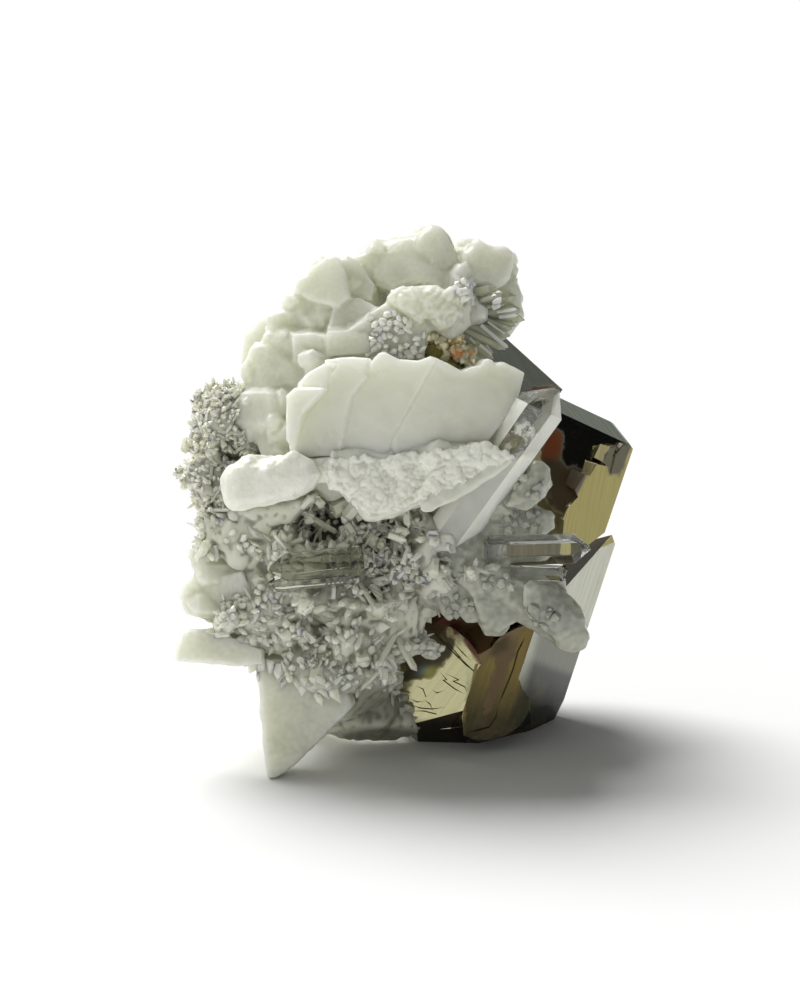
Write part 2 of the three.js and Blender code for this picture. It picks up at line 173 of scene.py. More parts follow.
class Socket:
    """An output socket, or a value made of them, that takes part in sums as a number does."""

    def __init__(self, tree, socket):
        self.tree = tree
        self.socket = socket

    def beside(self, name):
        """Another output of the same node."""
        return Socket(self.tree, self.socket.node.outputs[name])

    def math(self, operation, left, right=0.0, third=0.5, clamp=False):
        settings = {"operation": operation, "use_clamp": clamp}
        return self.tree.add("ShaderNodeMath", settings, {0: left, 1: right, 2: third})

    def __add__(self, other):
        return self.math("ADD", self, other)

    def __sub__(self, other):
        return self.math("SUBTRACT", self, other)

    def __rsub__(self, other):
        return self.math("SUBTRACT", other, self)

    def __mul__(self, other):
        return self.math("MULTIPLY", self, other)

    def __truediv__(self, other):
        return self.math("DIVIDE", self, other)

    __radd__ = __add__
    __rmul__ = __mul__

    def clamped(self):
        return self.math("ADD", self, clamp=True)

    def above(self, level, softness):
        """0 under the level and 1 over it, with a soft step between."""
        return ((self - level) / softness + 0.5).clamped()


class Tree:
    """A node tree that is being built."""

    def __init__(self, tree):
        self.tree = tree
        self.tree.nodes.clear()

    def add(self, kind, settings=None, sockets=None, output=0):
        """Adds a node and gives one of its outputs. Settings are set before the sockets."""
        node = self.tree.nodes.new(kind)
        for name, value in (settings or {}).items():
            if name == "stops":
                self.set_stops(node.color_ramp, value)
            else:
                setattr(node, name, value)
        for key, value in (sockets or {}).items():
            if isinstance(value, Socket):
                self.tree.links.new(value.socket, node.inputs[key])
            else:
                node.inputs[key].default_value = value
        return Socket(self, node.outputs[output]) if node.outputs else None

    def set_stops(self, ramp, stops):
        while len(ramp.elements) < len(stops):
            ramp.elements.new(1.0)
        for element, (position, colour) in zip(ramp.elements, stops):
            element.position = position
            element.color = (*colour, 1.0)

    def mix(self, factor, first, second):
        sockets = {0: factor, 6: as_colour(first), 7: as_colour(second)}
        return self.add("ShaderNodeMix", {"data_type": "RGBA"}, sockets, output=2)

    def vector_math(self, operation, left, right, output=0):
        sockets = {0: left, 1: right}
        return self.add("ShaderNodeVectorMath", {"operation": operation}, sockets, output)

    def combine(self, x=0.0, y=0.0, z=0.0):
        return self.add("ShaderNodeCombineXYZ", {}, {0: x, 1: y, 2: z})

    def separate(self, vector):
        x = self.add("ShaderNodeSeparateXYZ", {}, {0: vector})
        return x, x.beside("Y"), x.beside("Z")

    def noise(self, vector, scale, detail=3.0, roughness=0.55, distortion=0.0):
        sockets = {
            "Vector": vector, "Scale": scale, "Detail": detail, "Roughness": roughness,
            "Distortion": distortion,
        }
        return self.add("ShaderNodeTexNoise", {}, sockets)


def as_colour(value):
    return value if isinstance(value, Socket) else (*value, 1.0)


def darker(colour, share):
    return tuple(c * share for c in colour)


class Finish(Tree):
    """A material that is being built, with the socket of Object coordinates."""

    def __init__(self, name):
        self.material = bpy.data.materials.new(name)
        self.material.use_nodes = True
        super().__init__(self.material.node_tree)
        self.place = self.add("ShaderNodeTexCoord", output="Object")

    def attribute(self, name, output="Fac"):
        return self.add("ShaderNodeAttribute", {"attribute_name": name}, output=output)

    def bump(self, height, strength, distance):
        sockets = {"Height": height, "Strength": strength, "Distance": distance}
        return self.add("ShaderNodeBump", {}, sockets)

    def grooves(self, amount, colour, tint):
        """The colour, and some of the tint in grooves, by the edge attribute: painted shade in creases."""
        return self.mix((1.0 - self.attribute("edge") * 2.0).clamped() * amount, colour, tint)

    def shader(self, sockets):
        return self.add("ShaderNodeBsdfPrincipled", {}, sockets)

    def surface(self, sockets):
        return self.done(self.shader(sockets))

    def done(self, shader, **ends):
        self.add("ShaderNodeOutputMaterial", {}, {"Surface": shader, **ends})
        return self.material


# Meshes

PRISM_FLATNESS = 0.8
PRISM_TAPER = 0.9
LUMP_THICKNESS = 5 * MM
LUMP_RIM = 0.2 * MM
EDGE_ROUNDS = 3  # how often a mesh is evened out to find its edges
EDGE_HEIGHT = 0.05 * MM  # of an edge that is marked in full
FIELDS = {"FLOAT": "value", "FLOAT_COLOR": "color", "FLOAT_VECTOR": "vector"}


def new_object(name, mesh):
    piece = bpy.data.objects.new(name, mesh)
    bpy.context.scene.collection.objects.link(piece)
    return piece


def object_of(bm, name):
    """An object with what is in bm, which is freed."""
    mesh = bpy.data.meshes.new(name)
    bm.to_mesh(mesh)
    bm.free()
    return new_object(name, mesh)


def node_bmesh(node, flat=None):
    """A copy of a CAD node's solid, its triangles joined up, and merged if flat to some degrees."""
    bm = bmesh.new()
    bm.from_mesh(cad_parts[node].data)
    bmesh.ops.remove_doubles(bm, verts=bm.verts, dist=WELD)
    if flat:
        limit = math.radians(flat)
        bmesh.ops.dissolve_limit(bm, angle_limit=limit, verts=bm.verts, edges=bm.edges)
    return bm


def applied(piece):
    """The mesh that the piece's modifiers make. The modifiers are removed."""
    bpy.context.view_layer.update()
    evaluated = piece.evaluated_get(bpy.context.evaluated_depsgraph_get())
    mesh = bpy.data.meshes.new_from_object(evaluated)
    piece.modifiers.clear()
    return mesh


def with_modifier(piece, kind, **settings):
    """Applies one modifier."""
    modifier = piece.modifiers.new(kind.title(), kind)
    for name, value in settings.items():
        setattr(modifier, name, value)
    old = piece.data
    piece.data = applied(piece)
    bpy.data.meshes.remove(old)
    return piece


def bevelled(piece, width, angle):
    """Wears the edges at which faces meet at more than an angle in degrees."""
    return with_modifier(
        piece, "BEVEL", width=width, segments=2, limit_method="ANGLE",
        angle_limit=math.radians(angle), loop_slide=False,
    )


def skin(name, bm, voxel, smoothing):
    """A fine closed skin round everything in bm."""
    piece = with_modifier(object_of(bm, name), "REMESH", mode="VOXEL", voxel_size=voxel)
    return with_modifier(piece, "SMOOTH", factor=0.5, iterations=smoothing)


def add_loops(bm, loops):
    """A closed shape through loops of equally many points, the first and last loops filled."""
    rings = [[bm.verts.new(point) for point in loop] for loop in loops]
    count = len(rings[0])
    faces = [bm.faces.new(rings[0][::-1]), bm.faces.new(rings[-1])]
    for low, high in zip(rings, rings[1:]):
        for i in range(count):
            j = (i + 1) % count
            faces.append(bm.faces.new((low[i], low[j], high[j], high[i])))
    bmesh.ops.recalc_face_normals(bm, faces=faces)


def add_slab(bm, outline, point, normal, thickness, rim, dome=0.0):
    """A plate whose bevelled or domed front lies in a plane, seen in an outline of pixels."""
    normal = Vector(normal).normalized()
    front = [on_plane(px, py, point, normal) for px, py in outline]
    middle = sum(front, Vector()) / len(front)
    inner = [p + (middle - p).normalized() * min(rim, (middle - p).length * 0.5) for p in front]
    edge = [p - normal * rim * 0.7 for p in front]
    back = [p.lerp(middle, 0.1) - normal * thickness for p in front]
    loops = [back, edge, inner]
    for share in (0.1, 0.25, 0.5, 0.75) if dome else ():
        rise = normal * dome * math.sqrt(1 - (1 - share) ** 2)
        loops.append([p.lerp(middle, share) + rise for p in inner])
    add_loops(bm, loops)


def add_hull(bm, corners):
    """The convex solid round places given as pixel and depth."""
    verts = [bm.verts.new(spot(*corner)) for corner in corners]
    made = bmesh.ops.convex_hull(bm, input=verts)
    loose = [item for item in made["geom_interior"] if isinstance(item, bmesh.types.BMVert)]
    bmesh.ops.delete(bm, geom=loose, context="VERTS")


def add_prism(bm, root, tip, width, point=0.3, spin=0.0):
    """A six-sided crystal from root to tip, a little flat and tapered, with a slanting point."""
    ahead = (tip - root).normalized()
    side = ahead.orthogonal().normalized()
    turned = side * math.cos(spin) + ahead.cross(side) * math.sin(spin)
    across = ahead.cross(turned)

    def ring(start, size, uneven=0.0):
        loop = []
        for i in range(6):
            angle = math.pi / 3 * i
            out = turned * math.cos(angle) + across * math.sin(angle) * PRISM_FLATNESS
            rise = ahead * uneven * math.cos(angle * 2 + spin) * width
            loop.append(start + out * size * width / 2 + rise)
        return loop

    shoulder = tip - ahead * width * point * 2
    off = turned * width * 0.12
    add_loops(bm, [ring(root, 1.0), ring(shoulder, PRISM_TAPER, 0.15), ring(tip + off, 0.08)])


def add_prisms(bm, crystals, spin):
    """Crystals that each have a root, a tip and a width in mm, turned one against the next."""
    for i, (root, tip, width) in enumerate(crystals):
        add_prism(bm, root, tip, width * MM, spin=i * spin)


def add_ridge(bm, points, normals, width, height):
    """A fine ridge along points of a surface, tapered to its ends."""
    loops = []
    for i, (point, normal) in enumerate(zip(points, normals)):
        before, after = points[max(i - 1, 0)], points[min(i + 1, len(points) - 1)]
        side = (after - before).cross(normal).normalized()
        share = 0.15 if i in (0, len(points) - 1) else 1.0
        half = side * width * share / 2
        sunk = normal * height * 0.5
        loops.append([point - half - sunk, point + half - sunk, point + normal * height * share])
    add_loops(bm, loops)


def add_lumps(core, lumps):
    """The core, and slabs on it, each an outline, a lift in mm, a facing and a dome in mm."""
    surface = Surface(core.data)
    bm = bmesh.new()
    for outline, lift, facing, dome in lumps:
        middle = [sum(pixel[i] for pixel in outline) / len(outline) for i in (0, 1)]
        facing = Vector(facing).normalized()
        place = surface.at(*middle, spot(*CAP_EDGE))[0] + facing * lift * MM
        add_slab(bm, outline, place, facing, LUMP_THICKNESS, LUMP_RIM, dome * MM)
    return core, object_of(bm, "lumps")


def refine(mesh, longest, hidden):
    """Splits long edges, so that attributes follow fine patches. Hidden is for the far side."""
    bm = bmesh.new()
    bm.from_mesh(mesh)
    bmesh.ops.triangulate(bm, faces=bm.faces)
    for _ in range(9):
        bm.normal_update()
        long_edges = []
        for edge in bm.edges:
            seen = any(face.normal.dot(AHEAD) < 0 for face in edge.link_faces)
            if edge.calc_length() > (longest if seen else hidden):
                long_edges.append(edge)
        if not long_edges:
            break
        bmesh.ops.subdivide_edges(bm, edges=long_edges, cuts=1)
        bmesh.ops.triangulate(bm, faces=[face for face in bm.faces if len(face.verts) > 3])
    bm.to_mesh(mesh)
    bm.free()


def joined(*pieces):
    """One bmesh of several objects' meshes. The objects are removed."""
    bm = bmesh.new()
    for piece in pieces:
        bm.from_mesh(piece.data)
        bpy.data.objects.remove(piece)
    return bm


def points_of(mesh):
    points = np.zeros(len(mesh.vertices) * 3, np.float32)
    mesh.vertices.foreach_get("co", points)
    return points.reshape(-1, 3).astype(float)


def normals_of(mesh):
    normals = np.zeros(len(mesh.vertices) * 3, np.float32)
    mesh.vertex_normals.foreach_get("vector", normals)
    return normals.reshape(-1, 3).astype(float)


def set_points(mesh, points):
    mesh.vertices.foreach_set("co", points.astype(np.float32).ravel())
    mesh.update()


def set_attribute(mesh, name, values, kind="FLOAT", domain="POINT"):
    attribute = mesh.attributes.get(name) or mesh.attributes.new(name, kind, domain)
    attribute.data.foreach_set(FIELDS[kind], np.asarray(values, np.float32).ravel())


def lattice_noise(points, size, seed):
    """Smooth noise from about -1 to 1, with bumps about as wide as size."""
    angle = seed * 1.7
    cos, sin = math.cos(angle), math.sin(angle)
    turn = np.array([(cos, sin * 0.8, sin * 0.6), (-sin, cos * 0.8, cos * 0.6), (0, -0.6, 0.8)])
    cell = points @ turn / size + seed * 0.37
    base = np.floor(cell).astype(np.int64)
    part = cell - base
    ease = part * part * part * (part * (part * 6 - 15) + 10)
    total = np.zeros(len(points))
    for corner in range(8):
        offset = np.array([corner & 1, corner >> 1 & 1, corner >> 2 & 1])
        key = (base + offset) @ np.array([73856093, 19349663, 83492791]) + seed * 2654435761
        key = (key ^ (key >> 13)) * 1274126177 & 0x7FFFFFFF
        key = key ^ (key >> 15)
        slope = np.stack([(key >> shift & 1023) / 511.5 - 1 for shift in (0, 10, 20)], axis=1)
        weight = np.prod(np.where(offset == 1, ease, 1 - ease), axis=1)
        total += (slope * (part - offset)).sum(axis=1) * weight
    return total * 1.8


def spread(mesh, values):
    """The values of points averaged with those of their neighbours."""
    ends = np.zeros(len(mesh.edges) * 2, np.int32)
    mesh.edges.foreach_get("vertices", ends)
    first, second = ends.reshape(-1, 2).T
    columns = np.atleast_2d(np.asarray(values, float).T)
    size = columns.shape[1]
    count = 1 + np.bincount(first, minlength=size) + np.bincount(second, minlength=size)
    totals = [
        c + np.bincount(first, c[second], size) + np.bincount(second, c[first], size)
        for c in columns
    ]
    return np.squeeze((np.array(totals) / count).T)


def mark_edges(mesh):
    """Sets an edge attribute: over 0.5 on ridges, and under 0.5 in grooves."""
    points = points_of(mesh)
    flat = points
    for _ in range(EDGE_ROUNDS):
        flat = spread(mesh, flat)
    rise = ((points - flat) * normals_of(mesh)).sum(axis=1)
    set_attribute(mesh, "edge", np.clip(rise / EDGE_HEIGHT, -1, 1) * 0.5 + 0.5)


def swell(mesh, heights):
    """Moves points outwards along their normals."""
    set_points(mesh, points_of(mesh) + normals_of(mesh) * heights[:, None])


def roughen(mesh, *layers, weight=1.0):
    """Swells a mesh by layers of noise, each (height, size, seed) in mm."""
    points = points_of(mesh)
    lift = sum(lattice_noise(points, size * MM, seed) * height * MM for height, size, seed in layers)
    swell(mesh, lift * weight)


def finish_piece(piece, slot, finish, *nodes, smooth=False):
    """Joins a piece to the frame, held inside the box of the CAD solids."""
    mesh = piece.data
    low, high = (np.array(corner) for corner in CAD_BOX)
    set_points(mesh, np.clip(points_of(mesh), low, high))
    if smooth:
        mesh.shade_smooth()
    else:
        mesh.shade_flat()
    mesh.materials.clear()
    mesh.materials.append(finish)
    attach(piece, BODY)
    if nodes:
        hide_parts(*nodes)


# A bed of crystals, by Geometry Nodes

CRYSTAL_SIZES = (
    "Density", "Spacing", "Shortest", "Longest", "Width", "Slimmest", "Point", "Spread", "Sink",
)
CRYSTAL_INPUTS = {
    "Bed": "NodeSocketGeometry",
    **dict.fromkeys(CRYSTAL_SIZES, "NodeSocketFloat"),
    "Seed": "NodeSocketInt",
    "Finish": "NodeSocketMaterial",
}

# Kinds of crystals, by their sizes: density to the square mm, spacing, lengths and width in mm
# and the others as shares. For the druse, lengths and widths are shares of the settings.
CUBES = (2.5, 0.5, 0.6, 1.2, 1.3, 0.5, 0.2, 0.7, 0.4)
STOUT_ENDS = (0.1, 2.4, 4.4, 6.0, 5.0, 0.5, 0.45, 0.5, 0.75)
FACETS = (0.14, 2.0, 2.6, 3.8, 3.4, 0.5, 0.3, 0.4, 0.8)
CAP_STUBS = (2.4, 0.55, 1.2, 2.4, 1.3, 0.5, 0.25, 0.9, 0.45)
LOBE_STUBS = (0.9, 0.8, 1.4, 2.6, 1.8, 0.45, 0.3, 0.9, 0.65)
DRUSE_STOUT = (0.2, 1.3, 0.9, 1.5, 2.9, 0.5, 0.3, 0.7, 0.7)
DRUSE_STUBS = (1.1, 0.6, 0.7, 1.3, 1.6, 0.45, 0.25, 1.1, 0.5)
DRUSE_NEEDLES = (2.0, 0.5, 0.6, 1.5, 0.8, 0.5, 0.2, 1.3, 0.35)


def crystal_bed_tree():
    """Six-sided crystals that stand on a surface, more of them where its growth attribute is high."""
    group = bpy.data.node_groups.new("crystal_bed", "GeometryNodeTree")
    for name, kind in CRYSTAL_INPUTS.items():
        group.interface.new_socket(name, in_out="INPUT", socket_type=kind)
    group.interface.new_socket("Crystals", in_out="OUTPUT", socket_type="NodeSocketGeometry")
    tree = Tree(group)
    given = tree.add("NodeGroupInput")
    inputs = {name: given.beside(name) for name in CRYSTAL_INPUTS}

    prism = tree.add(
        "GeometryNodeMeshCylinder", {"fill_type": "NGON"},
        {"Vertices": 6, "Side Segments": 2, "Fill Segments": 1, "Radius": 0.5, "Depth": 1.0},
    )
    x, y, height = tree.separate(tree.add("GeometryNodeInputPosition"))
    at_top = height.math("GREATER_THAN", height, 0.25)
    at_shoulder = height.math("COMPARE", height, 0.0, 0.1)
    level = height + 0.5 + at_shoulder * (0.5 - inputs["Point"])
    narrow = 1.0 - at_top
    moved = tree.combine(x * narrow + at_top * 0.12, y * narrow, level)
    pointed = tree.add("GeometryNodeSetPosition", {}, {"Geometry": prism, "Position": moved})
    crystal = tree.add("GeometryNodeMergeByDistance", {}, {"Geometry": pointed, "Distance": 1e-4})

    growth = tree.add("GeometryNodeInputNamedAttribute", {"data_type": "FLOAT"}, {"Name": "growth"})
    scatter = tree.add(
        "GeometryNodeDistributePointsOnFaces", {"distribute_method": "POISSON"},
        {
            "Mesh": inputs["Bed"], "Distance Min": inputs["Spacing"],
            "Density Max": inputs["Density"], "Density Factor": growth, "Seed": inputs["Seed"],
        },
    )
    seed = inputs["Seed"]
    wander = random_value(tree, "FLOAT_VECTOR", (-1.0, -1.0, -1.0), (1.0, 1.0, 1.0), seed)
    reach = tree.add(
        "ShaderNodeVectorMath", {"operation": "SCALE"}, {0: wander, "Scale": inputs["Spread"]}
    )
    facing = tree.vector_math("ADD", scatter.beside("Normal"), reach)
    upright = tree.add("FunctionNodeAlignRotationToVector", {"axis": "Z"}, {"Vector": facing})
    turn = random_value(tree, "FLOAT", 0.0, math.pi, seed + 1)
    spin = tree.add("FunctionNodeAxisAngleToRotation", {}, {"Axis": (0, 0, 1), "Angle": turn})
    rotation = tree.add(
        "FunctionNodeRotateRotation", {"rotation_space": "LOCAL"},
        {"Rotation": upright, "Rotate By": spin},
    )
    length = random_value(tree, "FLOAT", inputs["Shortest"], inputs["Longest"], seed + 2)
    width = random_value(tree, "FLOAT", inputs["Slimmest"], 1.0, seed + 3) * inputs["Width"]
    flat = random_value(tree, "FLOAT", 0.7, 1.0, seed + 4)
    stood = tree.add(
        "GeometryNodeInstanceOnPoints", {},
        {
            "Points": scatter, "Instance": crystal, "Rotation": rotation,
            "Scale": tree.combine(width, width * flat, length),
        },
    )
    down = tree.combine(z=0.0 - inputs["Sink"])
    sunk = tree.add("GeometryNodeTranslateInstances", {}, {"Instances": stood, "Translation": down})
    real = tree.add("GeometryNodeRealizeInstances", {}, {"Geometry": sunk})
    done = tree.add("GeometryNodeSetMaterial", {}, {"Geometry": real, "Material": inputs["Finish"]})
    tree.add("NodeGroupOutput", {}, {"Crystals": done})
    return group


def random_value(tree, kind, low, high, seed):
    """A random number or vector for each point."""
    least, output = {"FLOAT_VECTOR": (0, 0), "FLOAT": (2, 1)}[kind]
    sockets = {least: low, least + 1: high, "Seed": seed}
    return tree.add("FunctionNodeRandomValue", {"data_type": kind}, sockets, output)


def crystals_on(name, bed, finish, kind, seed, length=MM, width=MM, pitch=MM):
    """An object with the crystals of a kind that a bed's surface carries."""
    units = (pitch**-2, pitch, length, length, width, 1, 1, 1, 1)
    values = {name: size * unit for name, size, unit in zip(CRYSTAL_SIZES, kind, units)}
    values.update(Seed=seed, Finish=finish)
    group = bpy.data.node_groups.get("crystal_bed") or crystal_bed_tree()
    grower = new_object(name + "_bed", bed.data.copy())
    modifier = grower.modifiers.new("Crystals", "NODES")
    modifier.node_group = group
    for item in group.interface.items_tree:
        if item.name in values:
            modifier[item.identifier] = values[item.name]
    piece = new_object(name, applied(grower))
    bed_copy = grower.data
    bpy.data.objects.remove(grower)
    bpy.data.meshes.remove(bed_copy)
    return piece


# Finishes

def glow(weight, depth, blue=0.88):
    """Sockets of quartz in which light wanders to a depth."""
    return {
        "IOR": QUARTZ_INDEX, "Subsurface Weight": weight,
        "Subsurface Radius": (1.0, 1.0, blue), "Subsurface Scale": depth,
    }


def milky_finish(name, light, dark, depth=0.005, roughness=0.25, grain=0.06, painted_shade_from_x=None):
    """Massive quartz: cloudy white, with light deep inside it, painted shade in grooves and a painted
    highlight on ridges, and, given a place along X, greyer from there on as painted shade.
    """
    finish = Finish(name)
    clouds = finish.noise(finish.place, 160.0, detail=4.0)
    veils = finish.noise(finish.place, 420.0, distortion=1.5)
    fine = finish.noise(finish.place, 900.0)
    edge = finish.attribute("edge")
    colour = finish.mix(clouds.above(0.5, 0.35), dark, light)
    colour = finish.mix(veils.above(0.62, 0.1) * 0.25, colour, darker(light, 1.12))
    # Painted shade: greyer along X from the given place on.
    if painted_shade_from_x is not None:
        along = finish.separate(finish.place)[0]
        colour = finish.mix(along.above(painted_shade_from_x + 0.006, 0.012) * 0.7, colour, darker(dark, 0.8))
    # Painted highlight: ridges are lighter, by the edge attribute.
    colour = finish.mix((edge * 2.0 - 1.0).clamped() * 0.4, colour, darker(light, 1.15))
    return finish.surface({
        **glow(1.0, depth),
        "Base Color": finish.grooves(0.3, colour, darker(dark, 0.75)),
        "Roughness": roughness + clouds * 0.2,
        "Normal": finish.bump(clouds * 0.5 + fine, grain, 0.0004),
    })


def frosted_finish(name, light, dark):
    """Chalky white quartz that sparkles where its grain attribute is high, and smooth elsewhere, with
    painted shade in grooves.
    """
    finish = Finish(name)
    grain = finish.attribute("grain")
    grains = finish.noise(finish.place, 1500.0, detail=2.0)
    patches = finish.noise(finish.place, 220.0, detail=4.0)
    smooth = finish.mix(patches.above(0.45, 0.5), darker(light, 0.74), darker(light, 0.84))
    colour = finish.mix(grain, smooth, light)
    return finish.surface({
        **glow(0.6, 0.0014, 0.9),
        "Base Color": finish.grooves(0.4, colour, darker(dark, 0.75)),
        "Roughness": 0.22 + grain * grains * 0.4,
        "Normal": finish.bump(grains * grain, 0.5, 0.0004),
    })


def druse_finish(name, light, dark):
    """The mass under a crust of needles: grey-green, with painted shade towards the dark colour where its
    hollow attribute is high, and in grooves.
    """
    finish = Finish(name)
    specks = finish.noise(finish.place, 500.0, detail=4.0)
    # Painted shade in the hollows, with a few random dark specks.
    shade = (finish.attribute("hollow") + specks.above(0.55, 0.3) * 0.08).clamped()
    return finish.surface({
        **glow(0.8, 0.003, 0.85),
        "Base Color": finish.grooves(0.6, finish.mix(shade, light, dark), dark),
        "Roughness": 0.3 + specks * 0.2,
        "Normal": finish.bump(specks, 0.2, 0.0004),
    })


def stub_finish(name, tint, transmission, index=QUARTZ_INDEX, depth=0.0012):
    """Small quartz crystals, half clear and half cloudy, grown into each other."""
    finish = Finish(name)
    clouds = finish.noise(finish.place, 300.0)
    return finish.surface({
        **glow(1.0, depth),
        "Base Color": finish.mix(clouds.above(0.5, 0.4), darker(tint, 0.86), tint),
        "Roughness": 0.06 + clouds * 0.08,
        "IOR": index,
        "Transmission Weight": transmission,
        "Coat Weight": 0.35,
        "Coat Roughness": 0.04,
        "Coat IOR": QUARTZ_INDEX,
    })


def glassy_finish(name, tint, absorption=None):
    """Clear quartz, if absorption (a colour and a density) is given, tinted with its thickness."""
    finish = Finish(name)
    ripples = finish.noise(finish.place, 250.0, detail=2.0)
    shader = finish.shader({
        "Base Color": (*tint, 1.0),
        "Roughness": 0.03 + ripples * 0.04,
        "IOR": QUARTZ_INDEX,
        "Transmission Weight": 1.0,
        "Normal": finish.bump(ripples, 0.05, 0.0002),
    })
    if absorption is None:
        return finish.done(shader)
    colour, density = absorption
    sockets = {"Color": (*colour, 1.0), "Density": density}
    return finish.done(shader, Volume=finish.add("ShaderNodeVolumeAbsorption", {}, sockets))


def veiled_finish(name, milk):
    """Clear quartz with bubbly veils inside and milky facets, by its frost attribute."""
    finish = Finish(name)
    frost = finish.attribute("frost")
    bubbles = finish.noise(finish.place, 700.0, detail=4.0, roughness=0.7)
    clouds = finish.noise(finish.place, 160.0, detail=2.0)
    clear = finish.shader({
        "Base Color": (0.97, 0.98, 0.94, 1.0),
        "Roughness": 0.02 + bubbles.above(0.6, 0.1) * 0.1,
        "IOR": QUARTZ_INDEX,
        "Transmission Weight": 1.0,
        "Normal": finish.bump(bubbles.above(0.58, 0.2), 0.35, 0.0002),
    })
    milky = finish.shader({
        **glow(0.6, 0.002, 0.85), "Base Color": (*milk, 1.0), "Roughness": 0.15,
    })
    veil = finish.attribute("veil") * bubbles.above(0.52, 0.12)
    milky_end = finish.attribute("milk") * (0.5 + clouds)
    amount = (frost + (clouds - 0.5) * frost + veil * 0.6 + milky_end).clamped()
    return finish.done(finish.add("ShaderNodeMixShader", {}, {0: amount, 1: clear, 2: milky}))


def pyrite_finish(name):
    """Bright pyrite, by the attributes that tint_faces, stain and shade_front give it. The tints and the
    shade attribute are partly painted reflection and shade.
    """
    finish = Finish(name)
    gloss = finish.attribute("gloss")
    stained = finish.attribute("stained")
    across, along = (
        finish.vector_math("DOT_PRODUCT", finish.place, finish.attribute(way, "Vector"), output=1)
        for way in ("across", "along")
    )
    streaks = finish.noise(
        finish.combine(across * 1800.0, along * 60.0), 1.0, detail=4.0, roughness=0.6
    )
    ragged = finish.noise(finish.place, 500.0, detail=4.0, roughness=0.65)
    clouds = finish.noise(finish.place, 130.0, detail=4.0)
    tint = finish.attribute("tint", "Color")
    colour = finish.mix(streaks.above(0.5, 0.5) * gloss * 2.4, tint, (0.14, 0.10, 0.05))
    # Painted reflection: the shade attribute darkens the lower front faces nearly to black, standing for
    # the shadowed floor they mirror.
    colour = finish.mix(finish.attribute("shade"), colour, (0.028, 0.031, 0.025))
    colour = finish.mix(clouds.above(0.66, 0.2) * 0.3, colour, (0.28, 0.20, 0.09))
    edge = (stained + (ragged - 0.5) * 1.2).above(0.5, 0.4) * stained.above(0.12, 0.1)
    bumps = finish.bump(streaks + ragged * edge * 3.0, 0.10, 0.0001)
    return finish.surface({
        "Base Color": finish.mix(edge, colour, finish.attribute("stain", "Color")),
        "Metallic": 1.0 - edge * 0.7,
        "Roughness": gloss + streaks * 0.08 + edge * 0.25,
        "Normal": finish.vector_math("ADD", bumps, finish.attribute("bend", "Vector")),
    })


def plain_metal(name, colour, roughness):
    """Metal of one colour, finely specked."""
    finish = Finish(name)
    specks = finish.noise(finish.place, 900.0)
    return finish.surface({
        "Base Color": finish.mix(specks, darker(colour, 0.6), colour),
        "Metallic": 1.0,
        "Roughness": roughness,
    })


def sulphide_finish(name):
    """Small tarnished crystals, brassy to orange and brown."""
    finish = Finish(name)
    patches = finish.noise(finish.place, 420.0, detail=4.0)
    stops = [
        (0.3, (0.16, 0.12, 0.06)), (0.40, (0.80, 0.64, 0.28)), (0.46, (1.0, 0.96, 0.72)),
        (0.55, (0.60, 0.60, 0.45)), (0.66, (1.0, 0.58, 0.28)),
    ]
    return finish.surface({
        "Base Color": finish.add("ShaderNodeValToRGB", {"stops": stops}, {0: patches}),
        "Metallic": 0.35,
        "Roughness": 0.25 + patches * 0.3,
    })


def floor_finish(name, colour):
    """A pale, matt and faintly mottled floor."""
    finish = Finish(name)
    mottle = finish.noise(finish.place, 4.0)
    return finish.surface({
        "Base Color": finish.mix(mottle, darker(colour, 0.98), colour),
        "Roughness": 0.9,
    })


# Sizes and colours that a user would change

COLOUR = {"size": 3, "min": 0.0, "max": 1.0, "subtype": "COLOR"}


class StageSettings(bpy.types.PropertyGroup):
    """The floor, the lights and the camera."""

    floor_width: FloatProperty(
        name="Floor width", description="Side of the square floor", default=12.0, min=1.0,
        unit="LENGTH",
    )
    floor_colour: FloatVectorProperty(
        name="Floor colour", description="Colour of the pale floor", default=(0.92, 0.92, 0.92),
        **COLOUR,
    )
    camera_distance: FloatProperty(
        name="Camera distance", description="From the lens to the middle of the specimen",
        default=DISTANCE, min=0.1, unit="LENGTH",
    )
    camera_height: FloatProperty(
        name="Camera height", description="Angle of the camera over the level",
        default=HEIGHT_ANGLE, subtype="ANGLE",
    )
    lens: FloatProperty(
        name="Lens", description="Focal length in millimetres", default=LENS, min=10.0,
        unit="CAMERA",
    )
    key_strength: FloatProperty(
        name="Key light", description="Strength of the large soft light at the upper left",
        default=3.25, min=0.0,
    )


class QuartzSettings(bpy.types.PropertyGroup):
    """The quartz: colours of its kinds and the size of its small crystals."""

    milky_colour: FloatVectorProperty(
        name="Milky colour", description="Colour of massive quartz", default=(0.76, 0.77, 0.65),
        **COLOUR,
    )
    frosted_colour: FloatVectorProperty(
        name="Frosted colour", description="Colour of the chalky blade",
        default=(0.93, 0.94, 0.82), **COLOUR,
    )
    druse_colour: FloatVectorProperty(
        name="Druse colour", description="Colour of the mass under the needles",
        default=(0.77, 0.77, 0.64), **COLOUR,
    )
    # The colour of the painted shade in the druse's hollows and at its foot.
    hollow_shade_colour: FloatVectorProperty(
        name="Hollow colour", description="Colour deep between the needles",
        default=(0.10, 0.095, 0.06), **COLOUR,
    )
    needle_width: FloatProperty(
        name="Needle width", description="Thickness of the widest needles of the crust",
        default=0.8 * MM, min=0.1 * MM, unit="LENGTH",
    )
    needle_length: FloatProperty(
        name="Needle length", description="Length of the longest needles of the crust",
        default=2.4 * MM, min=0.5 * MM, unit="LENGTH",
    )
    seed: IntProperty(
        name="Seed", description="Start of every random choice in the crystal beds", default=7,
    )


